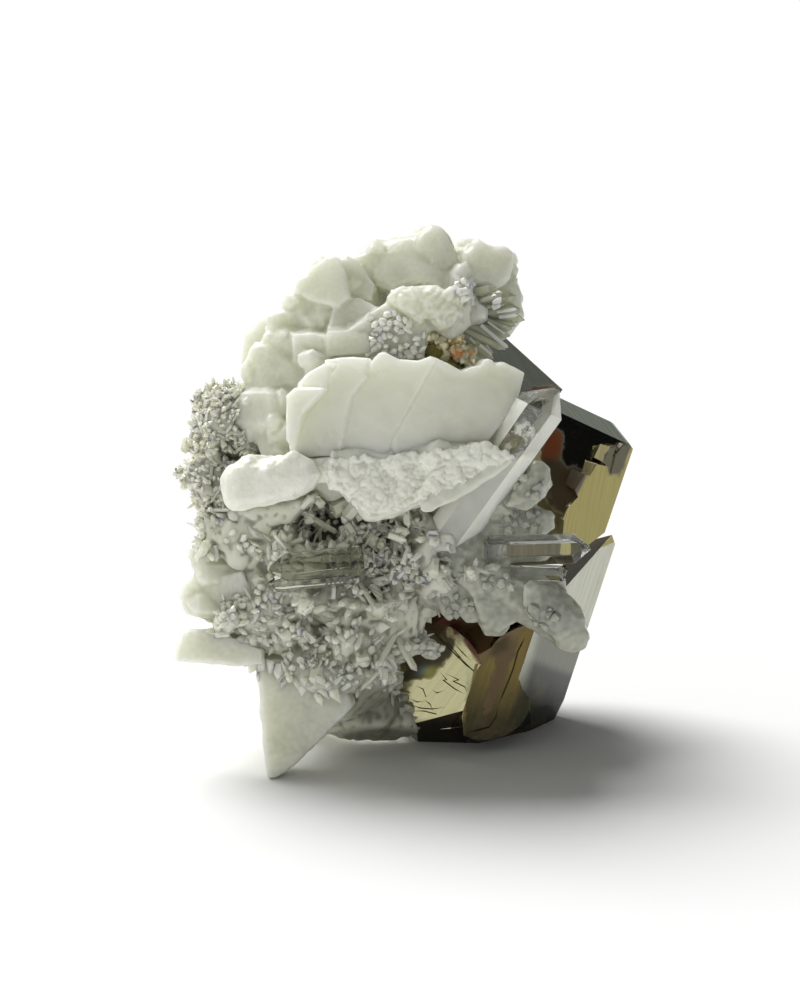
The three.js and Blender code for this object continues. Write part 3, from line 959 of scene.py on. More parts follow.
class PyriteSettings(bpy.types.PropertyGroup):
    """The pyrite."""

    edge_width: FloatProperty(
        name="Edge width", description="Width of the worn edges between crystal faces",
        default=0.12 * MM, min=0.0, unit="LENGTH",
    )
    brass_colour: FloatVectorProperty(
        name="Brass colour", description="Colour of the golden faces",
        default=(0.62, 0.55, 0.30), **COLOUR,
    )


SETTINGS = {
    "specimen_stage": StageSettings,
    "specimen_quartz": QuartzSettings,
    "specimen_pyrite": PyriteSettings,
}


# The pyrite

# Faces: outward normal, lowest and highest middle in mm, tint, gloss and stripe direction
# The tints are set face by face so that each face comes out as bright as wanted under this light: partly
# the faces' own tarnish, partly painted reflection. The nearly black tint of the lower crystal's top face
# is painted shade, and the two back faces get nearly black tints so that they do not mirror the lamp as
# plain white.
FACES = (
    ((-0.54, -0.76, 0.35), 0, 20, (0.63, 0.61, 0.36), 0.12, (0.6, 0.0, 0.8)),
    ((0.33, -0.94, 0.1), 0, 24, (0.2, 0.155, 0.05), 0.24, (-0.31, -0.2, -0.93)),
    ((0.85, -0.5, -0.17), 0, 24, (0.5, 0.52, 0.43), 0.16, (-0.31, -0.2, -0.93)),
    ((-0.41, -0.165, 0.897), 0, 40, (0.03, 0.026, 0.012), 0.12, (0.9, 0.0, 0.3)),
    ((0.82, -0.52, -0.25), 24, 60, (0.31, 0.275, 0.045), 0.26, (-0.1, 0.2, -0.9)),
    ((0.57, -0.75, 0.33), 24, 60, (0.5, 0.5, 0.4), 0.08, (0.1, 0.2, -0.9)),
    ((0.57, -0.26, 0.78), 24, 60, (0.61, 0.67, 0.57), 0.1, (0.7, 0.5, -0.3)),
    ((0.6, -0.35, 0.72), 24, 60, (0.52, 0.58, 0.49), 0.16, (0.5, -0.6, -0.6)),
    ((-0.52, 0.63, 0.58), 10, 40, (0.045, 0.038, 0.02), 0.08, (0.5, 0.2, 0.3)),
    ((0.19, 0.52, 0.83), 30, 60, (0.12, 0.1, 0.05), 0.14, (0.9, 0.2, -0.3)),
)
# Undersides get a dark tint: painted shade under the crystals.
UNDERSIDE_SHADE_TINT = (0.12, 0.10, 0.06)
PLAIN_GLOSS = 0.2
PLAIN_STRIPES = (0.2, 0.3, 0.9)

# The first face, a golden hexagon, is slightly bent
VICINAL_BEND = (0.36, -0.21, -0.19)

# Stains: outline of pixels and colour
STAINS = (
    (((427, 600), (437, 604), (447, 611), (459, 619), (465, 634), (475, 645), (480, 656), (477, 666),
      (471, 651), (461, 639), (449, 630), (437, 623), (427, 618)), (0.13, 0.032, 0.018)),
    (((459, 616), (480, 617), (494, 632), (490, 655), (481, 671), (478, 658), (474, 644), (463, 633)),
      (0.3, 0.2, 0.09)),
    (((404, 634), (420, 618), (434, 619), (446, 630), (456, 645), (450, 652), (455, 658), (444, 660),
      (447, 666), (436, 668), (438, 676), (426, 676), (416, 684), (402, 674)), (0.075, 0.058, 0.02)),
    (((402, 690), (401, 676), (412, 668), (405, 690), (412, 716), (404, 712)), (0.06, 0.05, 0.02)),
    (((418, 668), (425, 665), (428, 671), (421, 678)), (0.2, 0.3, 0.32)),
    (((428, 665), (437, 667), (433, 677), (423, 682)), (0.5, 0.5, 0.1)),
    (((546, 434), (556, 429), (562, 434), (563, 446), (558, 457), (541, 459)), (0.24, 0.07, 0.02)),
    (((541, 459), (562, 458), (566, 466), (578, 468), (588, 474), (571, 503), (563, 516), (553, 508),
      (546, 492), (540, 478)), (0.085, 0.06, 0.03)),
    (((519, 398), (527, 388), (540, 385), (558, 386), (561, 391), (545, 393), (532, 398)),
      (0.2, 0.06, 0.03)),
    (((508, 644), (516, 640), (514, 655), (503, 682), (495, 704), (488, 718), (482, 716), (486, 700),
      (492, 680), (497, 662)), (0.21, 0.14, 0.065)),
    (((489, 652), (500, 641), (512, 634), (508, 645), (494, 658)), (0.1, 0.07, 0.035)),
    (((505, 634), (520, 626), (528, 624), (526, 632), (514, 640)), (0.3, 0.21, 0.1)),
    (((604, 458), (609, 447), (621, 443), (629, 443), (630, 450), (621, 476), (610, 474)),
      (0.1, 0.088, 0.042)),
    # The last outline is no stain: it is painted shade along the crystal's foot at the floor.
    (((466, 738), (520, 730), (548, 716), (530, 746), (480, 752)), (0.04, 0.035, 0.02)),
)
STAIN_COLOUR = (0.2, 0.15, 0.08)  # of their blurred edges

# Slabs on faces: the step under the dark face, the golden hexagon, the foot and the top of the
# brown face, and two stubs. Pixel of the face, lift, thickness and rim in mm, and outline
SLABS = (
    ((606, 500), 0.03, 2.2, 0.05, ((629, 444), (616, 449), (617, 456), (604, 458), (606, 466), (597, 464),
      (590, 476), (585, 474), (575, 490), (578, 497), (568, 508), (563, 520), (572, 524), (606, 480),
      (626, 460))),
    ((440, 690), -0.02, 2.6, 0.05, ((421, 616), (429, 612), (437, 619), (455, 629), (468, 640), (476, 650),
      (481, 664), (474, 674), (440, 690), (420, 686), (408, 668), (406, 645))),
    ((500, 665), -0.02, 7.0, 0.05, ((476, 664), (500, 664), (516, 668), (519, 679), (523, 690), (529, 699),
      (530, 711), (521, 725), (508, 735), (492, 740), (478, 741), (464, 736), (462, 716), (466, 704))),
    ((500, 665), -0.02, 3.0, 0.05, ((488, 662), (490, 650), (497, 640), (506, 633), (517, 628), (527, 624),
      (534, 628), (530, 644), (524, 664), (506, 668))),
    ((606, 500), 0.2, 1.5, 0.15, ((603, 462), (610, 447), (617, 446), (609, 467))),
    ((606, 500), 0.2, 1.5, 0.15, ((611, 474), (616, 454), (624, 444), (628, 446), (620, 474))),
)

# Fine lines on the golden hexagon, the crack of the brown face and painted highlights of pale metal, as
# pixels
GROWTH_LINES = (
    ((426, 625), (439, 638), (453, 652), (465, 664), (474, 671)),
    ((436, 630), (447, 642), (459, 656), (467, 665), (474, 672)),
    ((440, 638), (451, 650), (459, 659)),
    ((452, 641), (462, 652), (472, 662)),
    ((439, 671), (447, 680), (443, 680), (455, 689), (465, 694)),
    ((445, 673), (459, 680), (453, 681), (465, 687), (467, 692)),
    ((453, 674), (463, 680)),
    ((432, 690), (437, 693), (445, 690)),
    ((416, 686), (423, 689), (426, 697), (422, 696)),
    ((411, 705), (420, 708), (432, 709), (445, 707)),
    ((412, 711), (424, 711), (436, 714), (442, 717)),
    ((423, 699), (430, 704), (434, 712)),
    ((449, 664), (461, 676)),
    ((409, 698), (417, 702), (424, 701)),
    ((417, 692), (421, 695)),
)
CRACK = (
    ((525, 636), (521, 645), (518, 651), (515, 662), (513, 669), (508, 682), (503, 694), (498, 706)),
    ((498, 706), (496, 717), (489, 727), (478, 730), (465, 733)),
)
PAINTED_GLINTS = (
    ((440, 729), (451, 728), (462, 727)), ((626, 447), (630, 449)),
)


def marks_on(piece, name, lines, width, height, finish):
    """Fine ridges along lines of pixels, on a piece. Width and height are in mm."""
    surface = Surface(piece.data)
    bm = bmesh.new()
    for line in lines:
        points, normals = zip(*(surface.at(*pixel) for pixel in line))
        add_ridge(bm, points, normals, width * MM, height * MM)
    finish_piece(object_of(bm, name), "pyrite", finish)


def same_facing(normals, facing):
    """Which normals point where a facing does."""
    return normals @ np.array(Vector(facing).normalized()) > SAME_FACING


def tint_faces(mesh, brass):
    """Gives the pyrite's faces their tints, gloss, stripes and bend. The tints are partly painted
    reflection and shade, with painted shade on the undersides.
    """
    normals = np.array([polygon.normal for polygon in mesh.polygons])
    heights = np.array([polygon.center.z for polygon in mesh.polygons]) / MM
    count = len(normals)
    tints = np.tile((*brass, 1.0), (count, 1))
    # Painted shade on the undersides.
    tints[normals[:, 2] < -0.5, :3] = UNDERSIDE_SHADE_TINT
    gloss = np.full(count, PLAIN_GLOSS)
    stripes = np.tile(PLAIN_STRIPES, (count, 1))
    for facing, low, high, tint, shine, stripe in FACES:
        same = same_facing(normals, facing) & (heights >= low) & (heights < high)
        tints[same, :3] = tint
        gloss[same] = shine
        stripes[same] = stripe
    across = np.cross(normals, stripes)
    across /= np.linalg.norm(across, axis=1)[:, None] + 1e-9
    set_attribute(mesh, "tint", tints, "FLOAT_COLOR", "FACE")
    set_attribute(mesh, "gloss", gloss, "FLOAT", "FACE")
    for name, values in (
        ("across", across), ("along", np.cross(across, normals)),
        ("bend", np.outer(same_facing(normals, FACES[0][0]), VICINAL_BEND)),
    ):
        set_attribute(mesh, name, values, "FLOAT_VECTOR", "FACE")


def stain(mesh):
    """Stains the pyrite's points."""
    colours = np.tile((*STAIN_COLOUR, 1.0), (len(mesh.vertices), 1))
    stained = np.zeros(len(mesh.vertices))
    for outline, colour in STAINS:
        part = inside(mesh, outline, RAGGED)
        stained[part] = 1
        colours[part, :3] = colour
    for _ in range(3):
        stained, colours = spread(mesh, stained), spread(mesh, colours)
    set_attribute(mesh, "stained", stained)
    set_attribute(mesh, "stain", colours, "FLOAT_COLOR")


def shade_front(mesh):
    """Paints shade on the lower crystal's front faces, by ramps across the picture: a painted reflection of
    the shadowed floor, darker mostly towards the bottom.
    """
    x, y = pixels_of(points_of(mesh))
    grey = np.maximum(
        0.95 * ramp(y - 0.35 * (x - 540), 632, 36), 0.71 * ramp(y - 0.3 * (x - 540), 606, 16)
    )
    grey *= ramp(x + 0.26 * (y - 632), 529, 14)
    grey *= 1 - 0.22 * ramp(532 - x, 0, 12) * ramp(y, 680, 15)
    brown = np.maximum(
        ramp(y - 0.1 * (x - 480), 664, 72, 0.9),
        ramp(x + 0.6 * (y - 680), 514, 22, 0.88) * (y > 664),
    )
    brown *= (x >= 466) & (x <= 536)
    gold = ramp(y, 718, 8, 0.75) * (x < 466)
    set_attribute(mesh, "shade", np.max([grey, brown, gold], axis=0) * (y > 560))


class SPECIMEN_OT_pyrite(bpy.types.Operator):
    """Finishes the intergrown pyrite crystals"""

    bl_idname = "specimen.pyrite"
    bl_label = "Pyrite crystals"

    def execute(self, context):
        settings = context.scene.specimen_pyrite
        piece = object_of(node_bmesh("pyrite_crystals", 0.5), "pyrite")
        surface = Surface(piece.data)
        bm = bmesh.new()
        bm.from_mesh(piece.data)
        for pixel, lift, thickness, rim, outline in SLABS:
            point, normal = surface.at(*pixel)
            point = point + normal * lift * MM
            add_slab(bm, outline, point, normal, thickness * MM, rim * MM)
        bm.to_mesh(piece.data)
        bm.free()
        bevelled(piece, settings.edge_width, 8)
        refine(piece.data, 0.5 * MM, 1.6 * MM)
        tint_faces(piece.data, settings.brass_colour)
        stain(piece.data)
        shade_front(piece.data)
        finish_piece(piece, "pyrite", pyrite_finish("pyrite_faces"), "pyrite_crystals")
        dark = plain_metal("pyrite_crack", (0.06, 0.045, 0.025), 0.4)
        line = plain_metal("pyrite_line", (0.14, 0.11, 0.045), 0.3)
        # Painted highlights: ridges of pale metal along some edges.
        painted_glint = plain_metal("pyrite_painted_glint", (0.85, 0.80, 0.60), 0.15)
        marks_on(piece, "growth_lines", GROWTH_LINES, 0.24, 0.04, line)
        marks_on(piece, "crack", CRACK, 0.36, 0.05, dark)
        marks_on(piece, "painted_glints", PAINTED_GLINTS, 0.16, 0.06, painted_glint)
        return {"FINISHED"}


class SPECIMEN_OT_sulphides(bpy.types.Operator):
    """Finishes the small metallic crystals in the niche"""

    bl_idname = "specimen.sulphides"
    bl_label = "Sulphide grains"

    def execute(self, context):
        finish = sulphide_finish("tarnished_sulphide")
        bed = skin("sulphide_bed", node_bmesh("sulphide_grains"), 0.3 * MM, 1)
        set_attribute(bed.data, "growth", np.ones(len(bed.data.vertices)))
        grains = crystals_on("sulphide_cubes", bed, finish, CUBES, 3)
        piece = object_of(joined(bed, grains), "sulphides")
        finish_piece(piece, "sulphide", finish, "sulphide_grains")
        return {"FINISHED"}


# The clear crystals

# Needles of the fan: pixels of root and tip, depth of both in mm, width in mm
FAN = (
    ((452, 316), (502, 340), -6.0, -6.6, 1.4), ((456, 318), (510, 337), -5.4, -6.0, 1.3),
    ((452, 324), (506, 349), -6.2, -7.0, 1.4), ((450, 328), (494, 358), -6.6, -7.6, 1.3),
    ((450, 332), (487, 366), -6.8, -7.8, 1.3), ((448, 334), (477, 366), -7.0, -8.0, 1.2),
    ((466, 313), (512, 330), -4.8, -5.2, 1.1), ((472, 312), (521, 311), -4.6, -5.0, 1.4),
    ((474, 316), (525, 319), -4.2, -4.6, 1.3), ((470, 309), (505, 304), -5.0, -5.8, 1.2),
    ((468, 306), (503, 293), -5.2, -6.0, 1.2), ((474, 304), (498, 296), -5.4, -6.4, 1.1),
    ((470, 316), (516, 325), -4.4, -4.8, 1.2),
)

# Needles of the fan that are painted highlights of a pale finish: pixels of root and tip, depth and width
# in mm
FAN_PAINTED_GLINTS = (
    ((481, 325), (508, 348), -7.3, 0.6), ((494, 304), (502, 298), -6.8, 0.9),
    ((493, 308), (501, 305), -6.8, 0.8), ((497, 312), (517, 309), -5.9, 0.5),
    ((499, 317), (518, 315), -5.6, 0.5), ((480, 345), (492, 355), -8.4, 0.5),
    ((470, 338), (476, 344), -7.6, 0.4), ((488, 322), (505, 334), -6.8, 0.35),
)

# Corners of the large point: pixel and depth in mm
LARGE_POINT = (
    (516.4, 397.7, -17.8), (528, 403.7, -20.6), (551, 414.5, -20.6), (561.4, 420, -17.9), (545, 402, -15.0),
    (522, 392, -15.0), (542, 400.7, -19.9), (551.5, 408.6, -20.2), (553.5, 396.8, -19.2),
    (555, 387.5, -17.6), (559.5, 391, -17.8), (413, 546, -12.2), (425, 552, -14.6), (444, 562, -14.6),
    (455, 569, -12.3), (440, 552, -9.4), (419, 542, -9.4),
)


def build_large_point():
    """The large glassy point, with its frosted facets, its veil and its milky end."""
    bm = bmesh.new()
    add_hull(bm, LARGE_POINT)
    point = object_of(bm, "large_point")
    mesh = point.data
    refine(mesh, 0.5 * MM, 0.5 * MM)
    frost = [0.75 * (p.normal.x < -0.3) + 0.6 * (p.normal.x > 0.45) for p in mesh.polygons]
    set_attribute(mesh, "frost", frost, "FLOAT", "FACE")
    set_attribute(mesh, "veil", patch(mesh, 519, 438, 30, 14, -50))
    set_attribute(mesh, "milk", ramp(pixels_of(points_of(mesh))[1], 452, 18, 0.5))
    veiled = veiled_finish("veiled_quartz", (0.92, 0.93, 0.83))
    finish_piece(point, "clear_quartz", veiled, "large_clear_point")


class SPECIMEN_OT_clear_points(bpy.types.Operator):
    """Finishes the glassy single crystals and the fan of needles"""

    bl_idname = "specimen.clear_points"
    bl_label = "Clear crystals"

    def execute(self, context):
        clear = glassy_finish("clear_quartz", (0.97, 0.98, 0.94))
        grey = glassy_finish("grey_quartz", (0.86, 0.87, 0.80), ((0.55, 0.55, 0.42), 135.0))
        build_large_point()
        for node, name, finish in (
            ("small_clear_point", "small_point", clear), ("grey_points", "grey_pair", grey),
        ):
            piece = bevelled(object_of(node_bmesh(node, 1), name), 0.08 * MM, 12)
            finish_piece(piece, "clear_quartz", finish, node)
        bm = bmesh.new()
        add_prism(bm, spot(512, 571, -15.4), spot(567, 573, -17.6), 2.4 * MM, point=0.15, spin=0.4)
        finish_piece(object_of(bm, "second_point"), "clear_quartz", clear)
        bm = node_bmesh("needle_fan")
        fan = [(spot(*root, low), spot(*tip, high), width) for root, tip, low, high, width in FAN]
        add_prisms(bm, fan, 1.3)
        dark = stub_finish("fan_quartz", (0.88, 0.90, 0.68), 0.5, 1.4)
        finish_piece(object_of(bm, "fan_needles"), "clear_quartz", dark, "needle_fan")
        bm = bmesh.new()
        painted_glints = [
            (spot(*root, depth), spot(*tip, depth - 0.4), width)
            for root, tip, depth, width in FAN_PAINTED_GLINTS
        ]
        add_prisms(bm, painted_glints, 0.9)
        # Painted highlights on the fan: crystals of a nearly white finish.
        painted_glint_finish = stub_finish("painted_glint_quartz", (1.0, 1.0, 0.97), 0.1)
        finish_piece(object_of(bm, "fan_painted_glints"), "clear_quartz", painted_glint_finish)
        return {"FINISHED"}


# The milky mass

# Facets and lumps of the cap: outline of pixels, lift over it in mm, facing and dome in mm
CAP_LUMPS = (
    (((295, 279), (303, 276), (309, 267), (321, 260), (328, 253), (337, 256), (345, 270), (350, 296),
      (337, 307), (309, 300), (293, 290)), 0.6, (-0.35, -1, 0.5), 0.3),
    (((341, 258), (350, 258), (364, 270), (376, 284), (373, 300), (352, 296), (348, 280)), 0.2,
      (0.35, -1, 0.4), 0),
    (((347, 258), (356, 255), (368, 248), (382, 241), (398, 237), (416, 235), (434, 250), (446, 275),
      (440, 285), (415, 284), (392, 290), (376, 284)), 0.4, (-0.05, -1, 0.8), 1.0),
    (((414, 240), (423, 228), (430, 222), (441, 226), (449, 234), (455, 246), (458, 262), (446, 276),
      (424, 272), (412, 256)), 0.8, (0.0, -1, 0.5), 1.0),
    (((463, 252), (470, 247), (472, 240), (478, 237), (485, 242), (493, 246), (507, 246), (514, 252),
      (514, 264), (511, 279), (498, 290), (478, 286), (462, 272)), 0.5, (0.3, -1, 0.4), 0.8),
    (((449, 285), (450, 272), (457, 263), (466, 262), (472, 270), (473, 284), (462, 290)), 1.2,
      (0.2, -1, 0.3), 0.9),
    (((504, 280), (517, 283), (523, 293), (523, 305), (526, 317), (522, 322), (517, 328), (511, 337),
      (498, 332), (490, 300)), 0.2, (0.5, -1, 0.1), 0.5),
    (((327, 328), (333, 306), (346, 298), (361, 297), (377, 306), (364, 320), (349, 328), (340, 331)), 0.9,
      (0.0, -1, 0.45), 0),
    (((291, 334), (308, 333), (326, 336), (328, 356), (316, 366), (306, 372), (293, 370)), 1.3,
      (-0.2, -1, -0.05), 0),
    (((327, 332), (346, 331), (368, 334), (372, 354), (325, 357)), 0.8, (0.05, -1, -0.1), 0),
    (((362, 318), (385, 303), (410, 312), (428, 332), (424, 362), (372, 362)), 0.6, (0.0, -1, 0.1), 0.6),
    (((386, 297), (392, 290), (404, 286), (420, 285), (434, 284), (446, 290), (455, 284), (464, 290),
      (467, 297), (461, 306), (463, 314), (455, 322), (448, 327), (440, 330), (434, 324), (428, 318),
      (420, 322), (410, 316), (398, 308)), 1.8, (0.1, -1, 0.35), 1.2),
    (((266, 456), (271, 440), (283, 428), (292, 420), (293, 452), (285, 459)), 0.5, (-0.1, -1, -0.4), 0),
    (((243, 333), (250, 329), (256, 324), (258, 317), (270, 312), (284, 318), (292, 340), (282, 372),
      (256, 380), (240, 362), (242, 345)), 0.2, (-0.5, -1, 0.4), 0.8),
)
GRANULAR_LUMP = CAP_LUMPS[11][0]
CAP_EDGE = (511, 308, -2.0)  # pixel and depth in mm, for lumps whose middle is off the core

# Flat ends of the blades on the left: outline of pixels, depth in mm and facing
LEFT_BLADES = (
    (((188, 557), (187, 548), (199, 541), (222, 543), (245, 547), (240, 572), (214, 578), (193, 572),
      (193, 564)), -11.6, (-0.2, -1, 0.5)),
    (((178, 595), (182, 587), (190, 577), (214, 578), (240, 572), (250, 590), (248, 616), (199, 617),
      (186, 615), (181, 606)), -12.0, (-0.35, -1, -0.05)),
    (((175, 654), (176, 646), (183, 630), (200, 630), (238, 640), (262, 650), (262, 664), (236, 666),
      (205, 663), (175, 661)), -14.9, (-0.15, -1, 0.25)),
)


def build_cap(milky, seed):
    """The cap: stout crystals, facets and lumps under one skin."""
    bed = skin("cap_bed", node_bmesh("milky_cap"), COARSE, 4)
    roughen(bed.data, (0.35, 3.4, 1), (0.12, 1.2, 2))
    set_attribute(bed.data, "growth", normals_of(bed.data) @ AHEAD_ROW > 0.15)
    stout = crystals_on("stout", bed, milky, STOUT_ENDS, seed)
    set_attribute(bed.data, "growth", ~inside(bed.data, GRANULAR_LUMP, RAGGED))
    facets = crystals_on("facets", bed, milky, FACETS, seed + 5)
    cap = skin("cap", joined(stout, facets, *add_lumps(bed, CAP_LUMPS)), 0.25 * MM, 1)
    roughen(cap.data, (0.10, 2.4, 1), (0.04, 0.5, 2))
    lumpy = inside(cap.data, GRANULAR_LUMP, RAGGED)
    roughen(cap.data, (0.35, 1.6, 16), (0.22, 0.6, 17), weight=lumpy)
    mark_edges(cap.data)
    niche, edge = patch(cap.data, 394, 336, 36, 30), patch(cap.data, 466, 290, 20, 12)
    set_attribute(cap.data, "growth", np.maximum(niche, 0.6 * edge))
    clear = stub_finish("stub_quartz", (1.0, 1.0, 0.9), 0.0, depth=0.0003)
    stubs = crystals_on("clear_stubs", cap, clear, CAP_STUBS, seed + 41)
    finish_piece(cap, "milky_quartz", milky, "milky_cap", smooth=True)
    finish_piece(stubs, "clear_quartz", clear)


class SPECIMEN_OT_milky_mass(bpy.types.Operator):
    """Builds the milky cap, the blades on the left and the two teeth"""

    bl_idname = "specimen.milky_mass"
    bl_label = "Milky quartz"

    def execute(self, context):
        settings = context.scene.specimen_quartz
        light = tuple(settings.milky_colour)
        milky = milky_finish("milky_quartz", light, darker(light, 0.9))
        build_cap(milky, settings.seed)
        for node, ends in (("left_blades", LEFT_BLADES), ("front_tooth", ()), ("rear_tooth", ())):
            bm = node_bmesh(node)
            for outline, depth, facing in ends:
                add_slab(bm, outline, spot(*outline[0], depth), facing, 6 * MM, 0.2 * MM)
            piece = skin(node + "_quartz", bm, 0.24 * MM, 1)
            roughen(piece.data, (0.2, 2.6, 5), (0.06, 0.7, 6))
            mark_edges(piece.data)
            finish_piece(piece, "milky_quartz", milky, node, smooth=True)
        return {"FINISHED"}


# Tablets from right to left: outline of pixels, depth in mm and facing
TABLETS = (
    (((436, 358), (449, 364), (462, 371), (473, 367), (480, 366), (483, 361), (488, 358.5), (493, 360),
      (496, 364), (499, 362.5), (504, 362), (510, 365), (516, 367.5), (525, 373), (522.5, 383), (519, 399),
      (486, 446), (470, 456), (392, 456), (393, 440)), -18.2, (0.12, -1, 0.1)),
    (((379, 353), (385, 352), (399, 359), (418, 361), (430, 356), (436, 358), (393, 440), (388, 456),
      (340, 456), (340, 437), (346, 419), (352, 395), (366, 378), (372.5, 359)), -17.8, (-0.1, -1, 0.16)),
    (((338, 362), (351, 367), (361.5, 373), (366, 378), (352, 395), (346, 419), (340, 456), (290, 458),
      (288, 444), (297, 426), (305, 412), (326, 381), (336, 366)), -17.4, (-0.28, -1, 0.2)),
    (((324, 359), (340, 356), (354, 356), (371, 357), (366, 376), (351, 368), (338, 363), (326, 362)),
      -16.6, (-0.1, -0.8, 0.8)),
    (((296, 384), (305, 373), (326, 361), (337, 364), (324, 388), (308, 387)), -17.0, (-0.25, -0.8, 0.7)),
    (((285, 395), (294, 387), (324, 388), (316, 397), (302, 413), (289, 447), (285, 440)), -17.4,
      (-0.4, -1, 0.3)),
)


class SPECIMEN_OT_tablets(bpy.types.Operator):
    """Builds the upright tablets"""

    bl_idname = "specimen.tablets"
    bl_label = "Upright tablets"

    def execute(self, context):
        light = tuple(context.scene.specimen_quartz.milky_colour)
        # The tablets grow greyer towards the right: painted shade.
        cloudy = milky_finish(
            "tablet_quartz", darker(light, 1.12), light, roughness=0.2, painted_shade_from_x=2 * MM
        )
        bm = bmesh.new()
        for outline, depth, facing in TABLETS:
            add_slab(bm, outline, spot(*outline[0], depth), facing, 4.5 * MM, 0.35 * MM)
        piece = skin("tablets", bm, 0.16 * MM, 1)
        roughen(piece.data, (0.06, 1.6, 8))
        mark_edges(piece.data)
        finish_piece(piece, "milky_quartz", cloudy, "upright_tablets", smooth=True)
        return {"FINISHED"}


# The chalky blade, as outlines of pixels: its granular part, the rounded left end, the right end
# over the foot of the large point and the shield above it
GRANULAR = (
    (316, 468), (332, 459), (357, 457), (394, 456), (424, 451), (441, 449), (463, 447), (475, 443),
    (491, 444), (500, 450), (514, 455), (511, 461), (490, 468), (465, 480), (424, 498), (390, 513),
    (369, 514), (353, 504), (332, 486),
)
LOBE = (
    (218, 488), (220, 477), (227, 468), (238, 462), (241, 457), (249, 455), (257, 461), (267, 459),
    (278, 455), (283, 457), (294, 451), (312, 460), (322, 474), (313, 489), (294, 501), (278, 504),
    (262, 507), (246, 509), (233, 510), (224, 505), (220, 497),
)
BLADE_TIP = (
    (455, 450), (467, 447), (478, 443), (491, 444), (501, 449), (514, 455), (512, 462), (499, 473),
    (479, 487), (459, 498), (441, 508), (430, 513), (421, 511), (416, 500), (424, 480),
)
SHIELD = (
    (420, 462), (424, 453), (428, 445), (435, 439), (441, 437), (448, 439), (455, 445), (460, 448),
    (467, 448), (474, 445), (484, 443), (478, 462), (450, 470), (426, 468),
)
LEFT_END = 330  # pixel up to which the blade is its rounded end


class SPECIMEN_OT_blade(bpy.types.Operator):
    """Builds the chalky blade across the front"""

    bl_idname = "specimen.blade"
    bl_label = "Frosted blade"

    def execute(self, context):
        light = tuple(context.scene.specimen_quartz.frosted_colour)
        core = skin("blade_core", node_bmesh("frosted_blade"), 0.3 * MM, 1)
        swell(core.data, (pixels_of(points_of(core.data))[0] < LEFT_END) * -1.1 * MM)
        bm = joined(core)
        add_slab(bm, LOBE, spot(*LOBE[0], -20.4), (-0.1, -1, 0.15), 5 * MM, 0.4 * MM, 1.5 * MM)
        add_slab(bm, BLADE_TIP, spot(470, 470, -21.2), (0.05, -1, 0.25), 3 * MM, 0.6 * MM)
        add_slab(bm, SHIELD, spot(450, 450, -20.2), (0, -1, 0.35), 2.4 * MM, 0.3 * MM, 0.4 * MM)
        piece = skin("blade", bm, 0.2 * MM, 5)
        rough = inside(piece.data, GRANULAR, 4.0)
        end = pixels_of(points_of(piece.data))[0] < LEFT_END
        set_attribute(piece.data, "grain", rough | end)
        roughen(piece.data, (0.3, 3.0, 10), (0.1, 1.0, 13))
        roughen(piece.data, (0.26, 1.4, 11), (0.20, 0.5, 12), weight=rough)
        swell(piece.data, rough * 0.2 * MM)
        mark_edges(piece.data)
        frosted = frosted_finish("frosted_quartz", light, darker(light, 0.86))
        finish_piece(piece, "frosted_quartz", frosted, "frosted_blade", smooth=True)
        return {"FINISHED"}


# Domed crystals among the lobes: outline of pixels, lift in mm, facing and dome in mm
LOBES = (
    (((524, 585), (530, 580), (544, 580), (558, 585), (570, 595), (582, 607), (588, 618), (586, 626),
      (589, 632), (590, 640), (586, 647), (578, 652), (570, 653), (560, 650), (556, 644), (552, 636),
      (545, 632), (535, 622), (525, 605)), 0.4, (0.2, -1, 0.1), 1.0),
    (((445, 563), (459, 555), (473, 553), (483, 559), (499, 561), (514, 567), (520, 577), (522, 587),
      (508, 599), (491, 599), (475, 597), (467, 591), (449, 575)), 0.5, (0.0, -1, 0.25), 0.9),
    (((473, 601), (491, 601), (516, 603), (522, 616), (514, 625), (499, 633), (491, 630), (481, 618)), 0.3,
      (0.1, -1, -0.15), 0),
    (((435, 591), (445, 595), (463, 597), (471, 603), (479, 616), (477, 623), (467, 624), (459, 614),
      (449, 622), (441, 614), (437, 603)), 0.4, (-0.1, -1, 0.0), 0.4),
    (((534, 460), (544, 461), (551, 469), (552, 481), (546, 491), (538, 504), (526, 510), (508, 506),
      (516, 487)), 0.3, (0.2, -1, 0.2), 0.7),
)

# Where small crystals sit on the lobes: pixel and half sizes
LOBE_CRUSTS = (
    (490, 577, 36, 22), (541, 613, 18, 14), (457, 604, 22, 16), (520, 520, 30, 14), (530, 485, 18, 14),
)


class SPECIMEN_OT_lobes(bpy.types.Operator):
    """Builds the rounded cloudy crystals on the right"""

    bl_idname = "specimen.lobes"
    bl_label = "Cloudy lobes"

    def execute(self, context):
        settings = context.scene.specimen_quartz
        light = darker(tuple(settings.milky_colour), 0.73)
        cloudy = milky_finish("cloudy_quartz", light, darker(light, 0.6), 0.0012, 0.06, 0.3)
        core = skin("lobe_core", node_bmesh("cloudy_lobes"), COARSE, 4)
        points = points_of(core.data)
        x, y = pixels_of(points)
        lift = np.clip(y - 604, 0, None) * ramp(-x, -484, 12) * 0.6 * PIXEL
        set_points(core.data, points + UP_ROW * lift[:, None])
        piece = skin("lobes", joined(*add_lumps(core, LOBES)), 0.26 * MM, 2)
        roughen(piece.data, (0.16, 2.6, 14), (0.12, 0.9, 15))
        mark_edges(piece.data)
        growth = np.max([patch(piece.data, *place) for place in LOBE_CRUSTS], axis=0)
        set_attribute(piece.data, "growth", growth)
        small = crystals_on("lobe_crystals", piece, cloudy, LOBE_STUBS, settings.seed + 51)
        finish_piece(piece, "milky_quartz", cloudy, "cloudy_lobes", smooth=True)
        finish_piece(small, "milky_quartz", cloudy)
        return {"FINISHED"}


# The druse

